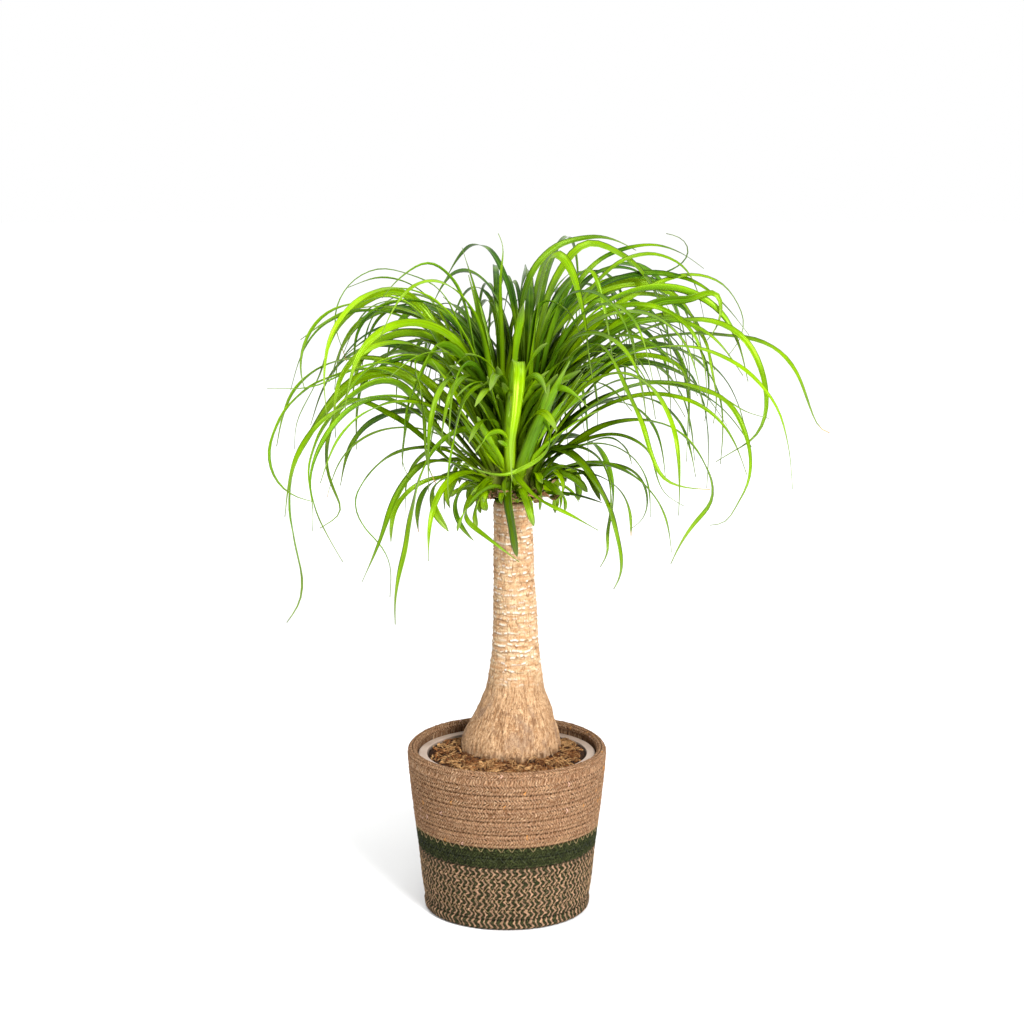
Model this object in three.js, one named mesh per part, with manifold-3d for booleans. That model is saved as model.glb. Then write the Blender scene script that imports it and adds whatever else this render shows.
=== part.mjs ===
// Potted ponytail palm in a coiled rope basket.
// Millimetres, +Z up. Origin: centre of the basket's underside. +X right, +Y to the back.

import * as THREE from 'three';
import { mergeVertices } from 'three/addons/utils/BufferGeometryUtils.js';
import Module from 'manifold-3d';

const wasm = await Module();
wasm.setup();

// ---- Driving dimensions -------------------------------------------------------------------

const GAP = 0.3; // clearance between pieces that touch

// Basket: rows of flat-braided cord, wound and sewn. Outer radius by height.
const BASKET_HEIGHT = 162;
const BASKET_FOOT_RADIUS = 74; // flat part of the underside
const BASKET_CORNER = 6; // height at which the wall begins
const CORNER_OUTSIDE = [4, 1.6]; // a step out and up, on the way from the foot to the wall
const CORNER_INSIDE = [5, 6]; // the same inside, from the base to the wall
const BASKET_OUTLINE = [[6, 80], [31, 83.8], [62, 86.8], [104, 92.2], [141, 96.2], [162, 97.6]];
const BASKET_WALL = 8.5;
const BASKET_BASE = 8;
const CORD_BULGE = 1.4; // how far a row stands out of the seams beside it
const RIM_ROLL = 5; // radius of the rounded top row
const RIM_ROLL_ANGLES = [-30, 20, 65, 110, 160, 210];
const RIM_INSIDE_DROP = 4; // the roll meets the inner wall this far below the last seam
const RIM_LIFT = 4.5; // the soft wall stands this much higher at the back of its rim
const LIFT_DEPTH = [-30, 97]; // from front to back, where that rise begins and ends
const LIFT_HEIGHT = [90, BASKET_HEIGHT];
const BASKET_SIDES = 30;
const BANDS = [
  { name: 'basket_mixed_coils', from: BASKET_CORNER, to: 64, rows: 6, crests: [0.5], colour: 0x7d7252 },
  { name: 'basket_green_coils', from: 64, to: 85, rows: 2, crests: [0.25, 0.75], colour: 0x34422b },
  { name: 'basket_tan_coils', from: 85, to: 152, rows: 5, crests: [0.25, 0.75], colour: 0xb48964 },
];

// Nursery pot: a tapered plastic pot with a flat turned rim.
const POT_TOP = 155.5;
const POT_RIM_OUTER = 86.4;
const POT_RIM_INNER = 78;
const POT_RIM_DEPTH = 6;
const POT_FOOT_RADIUS = 60;
const POT_WALL = 1.4;
const POT_RIM_ROUND = 0.8;
const POT_SIDES = 28;

// Soil: mounded towards the trunk.
const SOIL_EDGE = 150;
const SOIL_AT_TRUNK = 158;
const SOIL_ROUGHNESS = 1.6;
const SOIL_INNER = 44; // the mound's innermost ring, inside the trunk's girth
const SOIL_RINGS = 4;

// Trunk: height, radius and sideways lean of its axis, from the buried underside to the cut.
const TRUNK_Y = 10;
const TRUNK_UNDERSIDE = 119;
const TRUNK_TOP = 404; // a flat cut, which the heads stand on
const TRUNK_EDGE = 2;
const TRUNK_PROFILE = [
  [121, 20, 4], [127, 34, 4], [135, 43, 4], [145, 48, 4], [156, 49.5, 4], [165, 48.3, 4],
  [171, 46.8, 4.2], [179, 43.8, 5], [187, 40.2, 6], [194, 37.6, 7], [200, 35, 7.5], [206, 32.6, 7.8],
  [212, 30.2, 8], [218, 28.2, 8.4], [230, 26.2, 8.4], [242, 24.3, 8.4], [254, 22.9, 8.6],
  [266, 22.3, 8.4], [284, 21.4, 8.2], [302, 20.8, 7.8], [326, 19.8, 7], [355, 19.2, 6.4],
  [386, 18.8, 6], [402, 18.6, 6], [404, 17, 6],
];
const TRUNK_SIDES = 20;
const SCAR_FROM = 236; // leaf scars ring the trunk above this height
const SCAR_SPACING = 12;
const SCAR_DEPTH = 0.7;
const SCAR_LEDGE = 0.3; // share of the spacing that a scar's ledge takes
const BARK_ROUGHNESS = 0.25;
const FURROW_DEPTH = 1.1; // corky furrows run up the swollen base
const TRUNK_BURIED = 164; // smooth below this height, where the soil holds it

// Leafy heads round the cut top of the trunk, each in its own sector of the crown.
const HEAD_RING = 18.5; // from the trunk's axis to a head's axis
const HEAD_SECTOR = 34; // half of the sector that a head's leaves set out in, degrees
const HEAD_FAN = 4; // how much further they turn to the side by their tips
const CORE_RADIUS = 9.6;
const CORE_TOP_RADIUS = 5;
const CORE_HEIGHT = 66;
const CORE_SIDES = 9;
const CORE_WAIST = [0.4, 0.5]; // up to this share of its height it narrows by this much only
const ROOT_DEPTH = 3; // a leaf starts this deep inside the core
const ROOT_HEIGHTS = [62, 8]; // up the core, from its youngest leaf to its oldest
const ROOT_SPREAD = 62; // roots stand round the outward side of the core, degrees to each side
const GOLDEN = 0.618034; // successive leaves share out the sector evenly
const HEADS = [
  { name: 'head_front', azimuth: -90, leaves: 13, oldest: 0.6, reach: 0.62, seed: 11 },
  { name: 'head_right', azimuth: -18, leaves: 9, oldest: 1, reach: 1.02, seed: 12 },
  { name: 'head_back_right', azimuth: 54, leaves: 24, oldest: 0.9, reach: 1.08, seed: 23 },
  { name: 'head_back_left', azimuth: 126, leaves: 22, oldest: 0.95, reach: 0.9, seed: 14 },
  { name: 'head_left', azimuth: 198, leaves: 10, oldest: 1, reach: 0.9, seed: 15 },
];
// From a head's heart (0) to its oldest leaves (1): length, the angle a leaf rises at, and share of
// the full width. Each head's own oldest leaf is given above on the same scale.
const LEAF_LENGTH = [[0, 285], [0.35, 385], [0.65, 330], [0.85, 205], [1, 110]];
const LEAF_RISE = [[0, 86], [0.4, 78], [0.75, 52], [1, 20]];
const LEAF_SLIMMING = [[0, 1], [0.7, 1], [1, 0.6]];
const RISE_SPREAD = 6;
const LEAF_FALL = [68, 95]; // how steeply a tip hangs, degrees
const LEAF_STIFFNESS = [1.8, 1.2]; // a young leaf bends late along its length, an old one sooner
const STIFFNESS_SPREAD = [-0.2, 0.3];
const LENGTH_SPREAD = [0.85, 1.12];
const LEAF_WIDTH = [8, 13];
const LEAF_TWIST = 70; // to either side by the tip, degrees
const ARCH_PARTS = 10;
const ARCH_END = 0.9; // share of a leaf's length that bends over, before the rest just hangs

// Blades: long straps of a flat-topped, keeled section that taper to a thin tip.
const BLADE_STEPS = 6;
const SHAPED_STEPS = 7;
const BLADE_KEEL = 0.9;
const TIP_KEEL = 0.6;
const TIP_WIDTH = 1.8;
const ROOT_WIDTH = 0.3; // share of a blade's width at its root
const ROOT_WIDENING = 4; // full width is reached within a short part of the length
const TAPER = 3; // the higher, the later a blade narrows
const MERGE_TOLERANCE = 0.06; // slivers where blades meet are merged within this

// Leaves with a course of their own: head, width, depth of the tip, twist in degrees, and the course
// as [across, height] seen from the front by an eye at EYE, drawn on the plane through the origin.
const EYE = [5, -2500, 880];
const DEPTH_EASE = 1.7; // most of the way to its tip's depth is covered early in a leaf's course
const DRAWN_ROOT = 0.35; // a drawn leaf starts at this share of its first point's height
const SHAPED = [
  ['head_left', 5.5, 15, 30, [[-28, 500], [-60, 605], [-90, 622], [-122, 628], [-150, 612], [-163, 580],
    [-152, 540]]],
  ['head_left', 7, 45, 40, [[-35, 510], [-65, 590], [-90, 613], [-120, 620], [-150, 610]]],
  ['head_left', 8.5, -40, 45, [[-24, 500], [-34, 565], [-46, 610], [-72, 634], [-100, 620], [-118, 600]]],
  ['head_left', 12.5, -20, 55, [[-45, 520], [-85, 588], [-110, 602], [-140, 596], [-162, 590], [-180, 577],
    [-193, 553], [-196, 530], [-192, 512]]],
  ['head_left', 10, 35, -50, [[-40, 510], [-80, 592], [-105, 607], [-132, 598], [-152, 582], [-166, 562],
    [-176, 530], [-190, 503], [-201, 480], [-203, 455]]],
  ['head_left', 10, 5, 60, [[-60, 490], [-120, 532], [-175, 522], [-196, 509], [-213, 490], [-225, 463],
    [-227, 443], [-220, 424], [-205, 410], [-185, 404]]],
  ['head_left', 7, -60, 20, [[-50, 490], [-110, 538], [-150, 530], [-185, 515], [-228, 514]]],
  ['head_left', 14, 20, -60, [[-50, 470], [-100, 528], [-140, 524], [-168, 498], [-190, 464], [-205, 433],
    [-208, 395], [-202, 355], [-197, 330], [-200, 305], [-213, 285]]],
  ['head_left', 11, -40, 55, [[-55, 460], [-105, 520], [-130, 518], [-165, 490], [-185, 455], [-190, 428],
    [-186, 400], [-187, 375]]],
  ['head_left', 8.5, -110, 40, [[-60, 470], [-120, 505], [-160, 485], [-188, 430], [-183, 395], [-165, 357],
    [-158, 345]]],
  ['head_left', 11, -100, -45, [[-50, 440], [-105, 485], [-152, 502], [-170, 466], [-172, 440], [-165, 414],
    [-158, 394], [-180, 378]]],
  ['head_left', 14, -110, 30, [[-38, 474], [-64, 460], [-80, 436], [-90, 400], [-97, 360], [-104, 330],
    [-108, 306], [-108, 283]]],
  ['head_left', 10, -90, 35, [[-45, 440], [-78, 442], [-100, 420], [-112, 395], [-122, 365], [-140, 325]]],
  ['head_left', 8.5, -70, -30, [[-60, 455], [-110, 450], [-140, 420], [-146, 402], [-138, 380], [-120, 360],
    [-112, 340], [-113, 310]]],
  ['head_left', 14, -60, 40, [[-22, 500], [-48, 550], [-64, 556], [-80, 530], [-93, 500], [-98, 470],
    [-100, 440], [-92, 425]]],
  ['head_left', 11, -72, 35, [[-40, 500], [-72, 540], [-88, 542], [-82, 515], [-78, 480], [-76, 440],
    [-68, 422]]],
  ['head_left', 8.5, -50, 30, [[-20, 500], [-33, 548], [-50, 535], [-70, 505]]],
  ['head_left', 10, -30, 20, [[-22, 424], [-40, 420], [-50, 402], [-46, 385], [-32, 366]]],
  ['head_left', 10, -50, -20, [[-45, 430], [-70, 420], [-69, 395], [-56, 375]]],
  ['head_front', 11, -100, 30, [[0, 445], [-5, 490], [-12, 513], [-24, 518], [-40, 504], [-47, 480],
    [-53, 450], [-57, 420], [-55, 403]]],
  ['head_front', 5.5, -95, 10, [[-14, 420], [-36, 402], [-40, 388], [-20, 370], [12, 345]]],
  ['head_front', 15.5, -75, 0, [[3, 450], [5, 500], [9, 534], [11, 541], [12, 530], [12, 492], [10, 458]]],
  ['head_front', 5.5, -120, 10, [[6, 440], [18, 428], [34, 408], [60, 392], [88, 376]]],
  ['head_front', 11, -35, 0, [[3, 430], [1, 408], [6, 378], [10, 350]]],
  ['head_front', 7, -45, 0, [[12, 420], [20, 400], [26, 380]]],
  ['head_front', 5.5, -100, 40, [[16, 450], [26, 486], [38, 480], [42, 462], [34, 448], [18, 438], [0, 430],
    [-20, 432], [-45, 443]]],
  ['head_front', 17, -80, 0, [[20, 450], [36, 490], [50, 520], [60, 540]]],
  ['head_back_left', 8.5, 60, 10, [[-10, 520], [-28, 600], [-42, 648]]],
  ['head_back_left', 15.5, 45, 0, [[-12, 500], [-24, 570], [-36, 622]]],
  ['head_back_left', 5.5, 40, 0, [[-4, 540], [-6, 620], [-3, 650], [-8, 661]]],
  ['head_back_right', 11, 110, 30, [[14, 540], [18, 610], [42, 646], [80, 658], [102, 655], [122, 645]]],
  ['head_back_right', 7, 130, 20, [[40, 560], [80, 630], [112, 647], [142, 650], [166, 642], [186, 628]]],
  ['head_back_right', 5.5, 110, 0, [[40, 540], [90, 600], [125, 616], [152, 625], [168, 635], [172, 646],
    [165, 657], [150, 661]]],
  ['head_right', 7, 20, 20, [[50, 560], [100, 630], [130, 642], [156, 637], [171, 625], [181, 605],
    [187, 580]]],
  ['head_right', 8.5, 30, 40, [[50, 530], [100, 590], [145, 615], [166, 622], [186, 621], [206, 612],
    [220, 592], [225, 576], [220, 558], [210, 545]]],
  ['head_right', 12.5, -10, 60, [[55, 520], [105, 575], [150, 598], [172, 598], [188, 605], [199, 606],
    [203, 590], [199, 572], [190, 560]]],
  ['head_right', 10, 10, 60, [[60, 500], [120, 555], [170, 566], [212, 564], [241, 559], [260, 548],
    [275, 530], [285, 506], [293, 485], [301, 472], [308, 471]]],
  ['head_right', 10, -30, 50, [[55, 500], [120, 565], [180, 580], [207, 574], [226, 561], [239, 539],
    [247, 510], [246, 486], [236, 466], [216, 453], [200, 443]]],
  ['head_right', 8.5, -50, 45, [[60, 480], [130, 520], [200, 508], [216, 494], [228, 470], [233, 445],
    [231, 422], [220, 400], [210, 383], [195, 381]]],
  ['head_right', 5.5, 20, 10, [[60, 480], [130, 518], [205, 505], [226, 492], [250, 485]]],
  ['head_right', 12.5, -70, 50, [[50, 450], [100, 480], [140, 482], [162, 474], [181, 455], [191, 438],
    [197, 420], [196, 403], [181, 385], [166, 361], [158, 343]]],
  ['head_right', 8.5, 0, 40, [[60, 490], [120, 545], [165, 535], [173, 515], [173, 490], [172, 443]]],
  ['head_right', 10, -80, 30, [[40, 500], [70, 552], [88, 557], [101, 540], [115, 510], [129, 480],
    [138, 450], [150, 426], [170, 418], [195, 416]]],
  ['head_right', 7, -50, 20, [[50, 450], [100, 470], [135, 455], [143, 430], [151, 412], [170, 400]]],
  ['head_right', 12.5, 25, 40, [[30, 560], [50, 625], [76, 652], [110, 640], [135, 615], [150, 580],
    [155, 550], [160, 527], [165, 505]]],
  ['head_right', 14, -55, 25, [[26, 560], [36, 625], [46, 644], [58, 632], [70, 595], [76, 560],
    [81, 525], [88, 500]]],
  ['head_right', 8.5, -40, 15, [[40, 560], [62, 615], [78, 630], [90, 600], [97, 565], [100, 545]]],
  ['head_right', 10, -25, 20, [[22, 540], [34, 598], [54, 592], [68, 570], [76, 550]]],
  ['head_right', 10, 0, 30, [[50, 540], [88, 600], [110, 580], [120, 558], [123, 530]]],
  ['head_right', 8.5, 40, 30, [[80, 540], [150, 585], [185, 565], [195, 530], [200, 500], [197, 480]]],
  ['head_right', 15.5, -90, 30, [[42, 456], [62, 450], [80, 430], [95, 405], [101, 388], [108, 360],
    [110, 332], [103, 318]]],
  ['head_right', 11, -75, 25, [[30, 440], [60, 458], [85, 450], [97, 430], [100, 400], [96, 370],
    [98, 355], [90, 340]]],
  ['head_right', 8.5, -60, 10, [[35, 440], [65, 456], [100, 467], [115, 455], [120, 440]]],
  ['head_right', 8.5, -50, 20, [[50, 435], [98, 440], [120, 435], [132, 420], [135, 400], [130, 385],
    [120, 378]]],
  ['head_right', 8.5, -50, 10, [[44, 437], [75, 432], [90, 405]]],
  ['head_right', 7, -40, 10, [[40, 412], [60, 412], [85, 405], [92, 403]]],
];

// ---- Helpers -------------------------------------------------------------------------------

const toRadians = THREE.MathUtils.degToRad;

let seed = 7081;
function random() {
  seed = (Math.imul(seed, 1664525) + 1013904223) >>> 0;
  return seed / 4294967296;
}

function between(low, high) {
  return low + (high - low) * random();
}

function mix(a, b, t) {
  return a + (b - a) * t;
}

// Reads a table of rows sorted by their first column: the column's value at x.
function lookUp(table, x, column) {
  if (x <= table[0][0]) return table[0][column];
  for (let i = 1; i < table.length; i += 1) {
    if (x <= table[i][0]) {
      const t = (x - table[i - 1][0]) / (table[i][0] - table[i - 1][0]);
      return mix(table[i - 1][column], table[i][column], t);
    }
  }
  return table[table.length - 1][column];
}

// A closed geometry with shared vertices, as a solid.
function toSolid(geometry) {
  const plain = new THREE.BufferGeometry();
  plain.setAttribute('position', geometry.getAttribute('position'));
  if (geometry.index) plain.setIndex(geometry.index);
  const merged = mergeVertices(plain, 1e-4);
  const triangles = [];
  for (let i = 0; i < merged.index.count; i += 3) {
    const [a, b, c] = [0, 1, 2].map((k) => merged.index.getX(i + k));
    if (a !== b && b !== c && a !== c) triangles.push(a, b, c);
  }
  return new wasm.Manifold(new wasm.Mesh({
    numProp: 3,
    vertProperties: new Float32Array(merged.getAttribute('position').array),
    triVerts: new Uint32Array(triangles),
  }));
}

function toGeometry(solid) {
  const mesh = solid.getMesh();
  const geometry = new THREE.BufferGeometry();
  geometry.setAttribute('position', new THREE.BufferAttribute(new Float32Array(mesh.vertProperties), 3));
  geometry.setIndex(new THREE.BufferAttribute(new Uint32Array(mesh.triVerts), 1));
  return geometry;
}

// The largest body of a fused solid: what fusing seals inside is filled.
function outerBody(solid) {
  return solid.decompose().reduce((a, b) => (a.volume() > b.volume() ? a : b));
}

// A profile of [radius, height] points, counter-clockwise, turned round the Z axis.
function turned(profile, sides) {
  const outline = profile.map(([r, z]) => new THREE.Vector2(r, z));
  const closed = profile[0][0] > 0;
  if (closed) outline.push(outline[0].clone());
  return new THREE.LatheGeometry(outline, sides).rotateX(Math.PI / 2);
}

const model = new THREE.Group();

function addPiece(name, geometry, colour, roughness, metalness = 0) {
  const material = new THREE.MeshStandardMaterial({ color: colour, roughness, metalness });
  const mesh = new THREE.Mesh(geometry, material);
  mesh.name = name;
  model.add(mesh);
}

// ---- Basket --------------------------------------------------------------------------------

const wallRadius = (z) => lookUp(BASKET_OUTLINE, z, 1);

// The outside of a band of rows, bottom to top: each row is a shallow bulge between two seams.
function rowsOutside(band) {
  const rowHeight = (band.to - band.from) / band.rows;
  const points = [];
  for (let row = 0; row < band.rows; row += 1) {
    const z = band.from + row * rowHeight;
    points.push([wallRadius(z) - CORD_BULGE, z]);
    band.crests.forEach((part) => points.push([wallRadius(z + part * rowHeight), z + part * rowHeight]));
  }
  return points;
}

const innerRadius = (z) => wallRadius(z) - BASKET_WALL;

function mixedBand(band) {
  const top = band.to - GAP;
  return [
    [0, 0],
    [BASKET_FOOT_RADIUS, 0],
    [BASKET_FOOT_RADIUS + CORNER_OUTSIDE[0], CORNER_OUTSIDE[1]],
    ...rowsOutside(band).slice(1),
    [wallRadius(top) - CORD_BULGE, top],
    [innerRadius(top), top],
    [innerRadius(BASKET_BASE + CORNER_INSIDE[1]), BASKET_BASE + CORNER_INSIDE[1]],
    [innerRadius(BASKET_BASE) - CORNER_INSIDE[0], BASKET_BASE],
    [0, BASKET_BASE],
  ];
}

function greenBand(band) {
  const top = band.to - GAP;
  return [
    ...rowsOutside(band),
    [wallRadius(top) - CORD_BULGE, top],
    [innerRadius(top), top],
    [innerRadius(band.from), band.from],
  ];
}

function tanBand(band) {
  const rollCentre = BASKET_HEIGHT - RIM_ROLL;
  const rollRadius = wallRadius(rollCentre) - RIM_ROLL;
  const roll = RIM_ROLL_ANGLES.map((degrees) => {
    const angle = toRadians(degrees);
    return [rollRadius + RIM_ROLL * Math.cos(angle), rollCentre + RIM_ROLL * Math.sin(angle)];
  });
  return [
    ...rowsOutside(band),
    [wallRadius(band.to) - CORD_BULGE, band.to],
    ...roll,
    [innerRadius(band.to - RIM_INSIDE_DROP), band.to - RIM_INSIDE_DROP],
    [innerRadius(band.from), band.from],
  ];
}

function liftRim(geometry) {
  const position = geometry.getAttribute('position');
  for (let i = 0; i < position.count; i += 1) {
    const z = position.getZ(i);
    const back = THREE.MathUtils.smoothstep(position.getY(i), ...LIFT_DEPTH);
    position.setZ(i, z + RIM_LIFT * back * THREE.MathUtils.smoothstep(z, ...LIFT_HEIGHT));
  }
  return geometry;
}

const bandProfiles = [mixedBand, greenBand, tanBand];
BANDS.forEach((band, i) => {
  const wall = liftRim(turned(bandProfiles[i](band), BASKET_SIDES));
  addPiece(band.name, toGeometry(toSolid(wall)), band.colour, 0.9);
});

// ---- Nursery pot ---------------------------------------------------------------------------

const POT_FLOOR = BASKET_BASE + GAP;
const potRise = (z) => (z - POT_FLOOR) / (POT_TOP - POT_FLOOR);
const potOutside = (z) => mix(POT_FOOT_RADIUS, POT_RIM_INNER + POT_WALL, potRise(z));
const potInside = (z) => potOutside(z) - POT_WALL;

const potProfile = [
  [0, POT_FLOOR],
  [POT_FOOT_RADIUS, POT_FLOOR],
  [potOutside(POT_TOP - POT_WALL), POT_TOP - POT_WALL],
  [POT_RIM_OUTER - POT_WALL, POT_TOP - POT_WALL],
  [POT_RIM_OUTER - POT_WALL, POT_TOP - POT_RIM_DEPTH],
  [POT_RIM_OUTER, POT_TOP - POT_RIM_DEPTH],
  [POT_RIM_OUTER, POT_TOP - POT_RIM_ROUND],
  [POT_RIM_OUTER - POT_RIM_ROUND, POT_TOP],
  [potInside(POT_TOP), POT_TOP],
  [potInside(POT_FLOOR + POT_WALL), POT_FLOOR + POT_WALL],
  [0, POT_FLOOR + POT_WALL],
];
addPiece('nursery_pot', toGeometry(toSolid(turned(potProfile, POT_SIDES))), 0xcfc2ba, 0.45);

// ---- Trunk ---------------------------------------------------------------------------------

const trunkRadius = (z) => lookUp(TRUNK_PROFILE, z, 1);
const trunkX = (z) => lookUp(TRUNK_PROFILE, z, 2);

// A ring of points round an upright axis.
function ringOf(x, y, radius, z, sides) {
  return Array.from({ length: sides }, (_, i) => {
    const angle = (2 * Math.PI * i) / sides;
    return [x + radius * Math.cos(angle), y + radius * Math.sin(angle), z];
  });
}

// A tube of rings stacked in height, each a list of points, closed at both ends.
function stacked(rings, bottom, top) {
  const sides = rings[0].length;
  const positions = [...rings.flat(2), ...bottom, ...top];
  const bottomIndex = rings.length * sides;
  const indices = [];
  for (let ring = 0; ring < rings.length - 1; ring += 1) {
    for (let i = 0; i < sides; i += 1) {
      const a = ring * sides + i;
      const b = ring * sides + ((i + 1) % sides);
      indices.push(a, b, b + sides, a, b + sides, a + sides);
    }
  }
  const last = (rings.length - 1) * sides;
  for (let i = 0; i < sides; i += 1) {
    const next = (i + 1) % sides;
    indices.push(bottomIndex, next, i);
    indices.push(bottomIndex + 1, last + i, last + next);
  }
  const geometry = new THREE.BufferGeometry();
  geometry.setAttribute('position', new THREE.Float32BufferAttribute(positions, 3));
  geometry.setIndex(indices);
  return geometry;
}

// The heights of the rings: the profile's own below the scars, then a step out and in at each scar.
function trunkHeights() {
  const heights = TRUNK_PROFILE.map((row) => row[0]).filter((z) => z < SCAR_FROM);
  for (let z = SCAR_FROM; z < TRUNK_TOP - SCAR_SPACING; z += SCAR_SPACING) {
    heights.push(z, z + SCAR_LEDGE * SCAR_SPACING);
  }
  heights.push(TRUNK_TOP - TRUNK_EDGE, TRUNK_TOP);
  return heights;
}

function trunkRings() {
  const furrows = Array.from({ length: TRUNK_SIDES }, () => between(-1, 1));
  return trunkHeights().map((z, ring) => {
    const scar = z >= SCAR_FROM && z < TRUNK_TOP ? SCAR_DEPTH * (ring % 2 ? 1 : -1) : 0;
    const furrowed = z > TRUNK_BURIED && z < SCAR_FROM ? FURROW_DEPTH : 0;
    return furrows.map((furrow, i) => {
      const angle = (2 * Math.PI * i) / TRUNK_SIDES;
      const rough = z > TRUNK_BURIED ? between(-BARK_ROUGHNESS, BARK_ROUGHNESS) : 0;
      const radius = trunkRadius(z) + scar + furrowed * furrow + rough;
      return [trunkX(z) + radius * Math.cos(angle), TRUNK_Y + radius * Math.sin(angle), z];
    });
  });
}

const trunkBottom = [trunkX(0), TRUNK_Y, TRUNK_UNDERSIDE];
const trunkTop = [trunkX(TRUNK_TOP), TRUNK_Y, TRUNK_TOP];
addPiece('trunk', toGeometry(toSolid(stacked(trunkRings(), trunkBottom, trunkTop))), 0xdeb27d, 0.85);

// ---- Soil ----------------------------------------------------------------------------------

// A filled pot's soil: follows the pot's inside, mounds towards the trunk, and has a plain hole
// of the trunk's own buried shape.
function soilSolid() {
  const floor = POT_FLOOR + POT_WALL + GAP;
  const edge = potInside(SOIL_EDGE) - GAP;
  const rings = [
    ringOf(0, 0, potInside(floor) - GAP, floor, POT_SIDES),
    ringOf(0, 0, edge, SOIL_EDGE, POT_SIDES),
  ];
  for (let i = 1; i < SOIL_RINGS; i += 1) {
    const inward = i / SOIL_RINGS;
    const height = mix(SOIL_EDGE, SOIL_AT_TRUNK, inward);
    const radius = mix(edge, SOIL_INNER, inward);
    const ring = ringOf(trunkX(0) * inward, TRUNK_Y * inward, radius, height, POT_SIDES);
    rings.push(ring.map(([x, y, z]) => [x, y, z + between(-SOIL_ROUGHNESS, SOIL_ROUGHNESS)]));
  }
  const block = toSolid(stacked(rings, [0, 0, floor], [trunkX(0), TRUNK_Y, SOIL_AT_TRUNK]));
  const hole = TRUNK_PROFILE.filter(([z]) => z < SCAR_FROM).map(([z, radius, x]) => (
    ringOf(x, TRUNK_Y, radius + 2 * GAP, z, TRUNK_SIDES)
  ));
  const holeBottom = [trunkX(0), TRUNK_Y, TRUNK_UNDERSIDE - GAP];
  const holeTop = [trunkX(SCAR_FROM), TRUNK_Y, SCAR_FROM];
  return outerBody(block.subtract(toSolid(stacked(hole, holeBottom, holeTop))));
}

addPiece('potting_soil', toGeometry(soilSolid()), 0x5e3f24, 0.95);

// ---- Leaves --------------------------------------------------------------------------------

// Half of the width of a blade at a fraction of its length.
function bladeHalfWidth(width, along) {
  const base = Math.min(1, ROOT_WIDTH + ROOT_WIDENING * along);
  return 0.5 * Math.max(TIP_WIDTH, width * base * (1 - along ** TAPER));
}

// A blade along a course of points: sections of two edges and a keel. They set out level and turn
// only as the course bends, apart from the twist.
function blade(course, width, twist, steps) {
  const curve = new THREE.CatmullRomCurve3(course, false, 'centripetal');
  const centres = curve.getSpacedPoints(steps);
  const root = centres[0];
  const tip = centres[steps];
  const level = new THREE.Vector3(root.y - tip.y, tip.x - root.x, 0).normalize();
  const points = [];
  const ups = [];
  centres.forEach((centre, k) => {
    const along = k / steps;
    const forward = curve.getTangentAt(along);
    level.addScaledVector(forward, -level.dot(forward)).normalize();
    const side = level.clone().applyAxisAngle(forward, toRadians(twist) * along);
    const up = forward.clone().cross(side);
    const half = bladeHalfWidth(width, along);
    const left = centre.clone().addScaledVector(side, -half);
    const right = centre.clone().addScaledVector(side, half);
    const keel = centre.clone().addScaledVector(up, -mix(BLADE_KEEL, TIP_KEEL, along));
    points.push(left, right, keel);
    ups.push(up);
  });
  const indices = [0, 1, 2];
  for (let k = 0; k < steps; k += 1) {
    // Each face is split on its outer diagonal, so that a twist doesn't thin the blade.
    const up = ups[k].clone().add(ups[k + 1]);
    for (let i = 0; i < 3; i += 1) {
      const a = 3 * k + i;
      const b = 3 * k + ((i + 1) % 3);
      const apart = points[a].clone().add(points[b + 3]).sub(points[b]).sub(points[a + 3]).dot(up);
      const isTop = i === 0; // the two faces beside the keel follow
      if (isTop ? apart > 0 : apart < 0) indices.push(a, a + 3, b + 3, a, b + 3, b);
      else indices.push(a, a + 3, b, b, a + 3, b + 3);
    }
  }
  indices.push(3 * steps, 3 * steps + 2, 3 * steps + 1);
  const geometry = new THREE.BufferGeometry().setFromPoints(points);
  geometry.setIndex(indices);
  return toSolid(geometry);
}

// The course of a leaf by rule: it leaves its root at an angle and arches over by its own weight.
function archedCourse(root, azimuths, rise, fall, stiffness, length) {
  const course = [root.clone()];
  for (let k = 0; k < ARCH_PARTS; k += 1) {
    const along = (k + 0.5) / ARCH_PARTS;
    const pitch = toRadians(rise - (rise + fall) * Math.min(1, along / ARCH_END) ** stiffness);
    const azimuth = toRadians(mix(azimuths[0], azimuths[1], along));
    const step = new THREE.Vector3(
      Math.cos(pitch) * Math.cos(azimuth),
      Math.cos(pitch) * Math.sin(azimuth),
      Math.sin(pitch),
    );
    course.push(course[k].clone().addScaledVector(step, length / ARCH_PARTS));
  }
  return course;
}

// The course of a shaped leaf: the drawn points, moved along the line of sight to their depth.
function drawnCourse(root, tipDepth, drawn) {
  const course = [root.clone()];
  drawn.forEach(([across, height], k) => {
    const along = (k + 1) / drawn.length;
    const depth = mix(root.y, tipDepth, 1 - (1 - along) ** DEPTH_EASE);
    const near = (depth - EYE[1]) / -EYE[1];
    course.push(new THREE.Vector3(mix(EYE[0], across, near), depth, mix(EYE[2], height, near)));
  });
  return course;
}

function headCore({ x, y }) {
  const bottom = TRUNK_TOP + GAP;
  const profile = [
    [0, bottom], [CORE_RADIUS, bottom],
    [CORE_RADIUS - CORE_WAIST[1], bottom + CORE_WAIST[0] * CORE_HEIGHT],
    [CORE_TOP_RADIUS, bottom + CORE_HEIGHT], [0, bottom + CORE_HEIGHT],
  ];
  return toSolid(turned(profile, CORE_SIDES).translate(x, y, 0));
}

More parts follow.
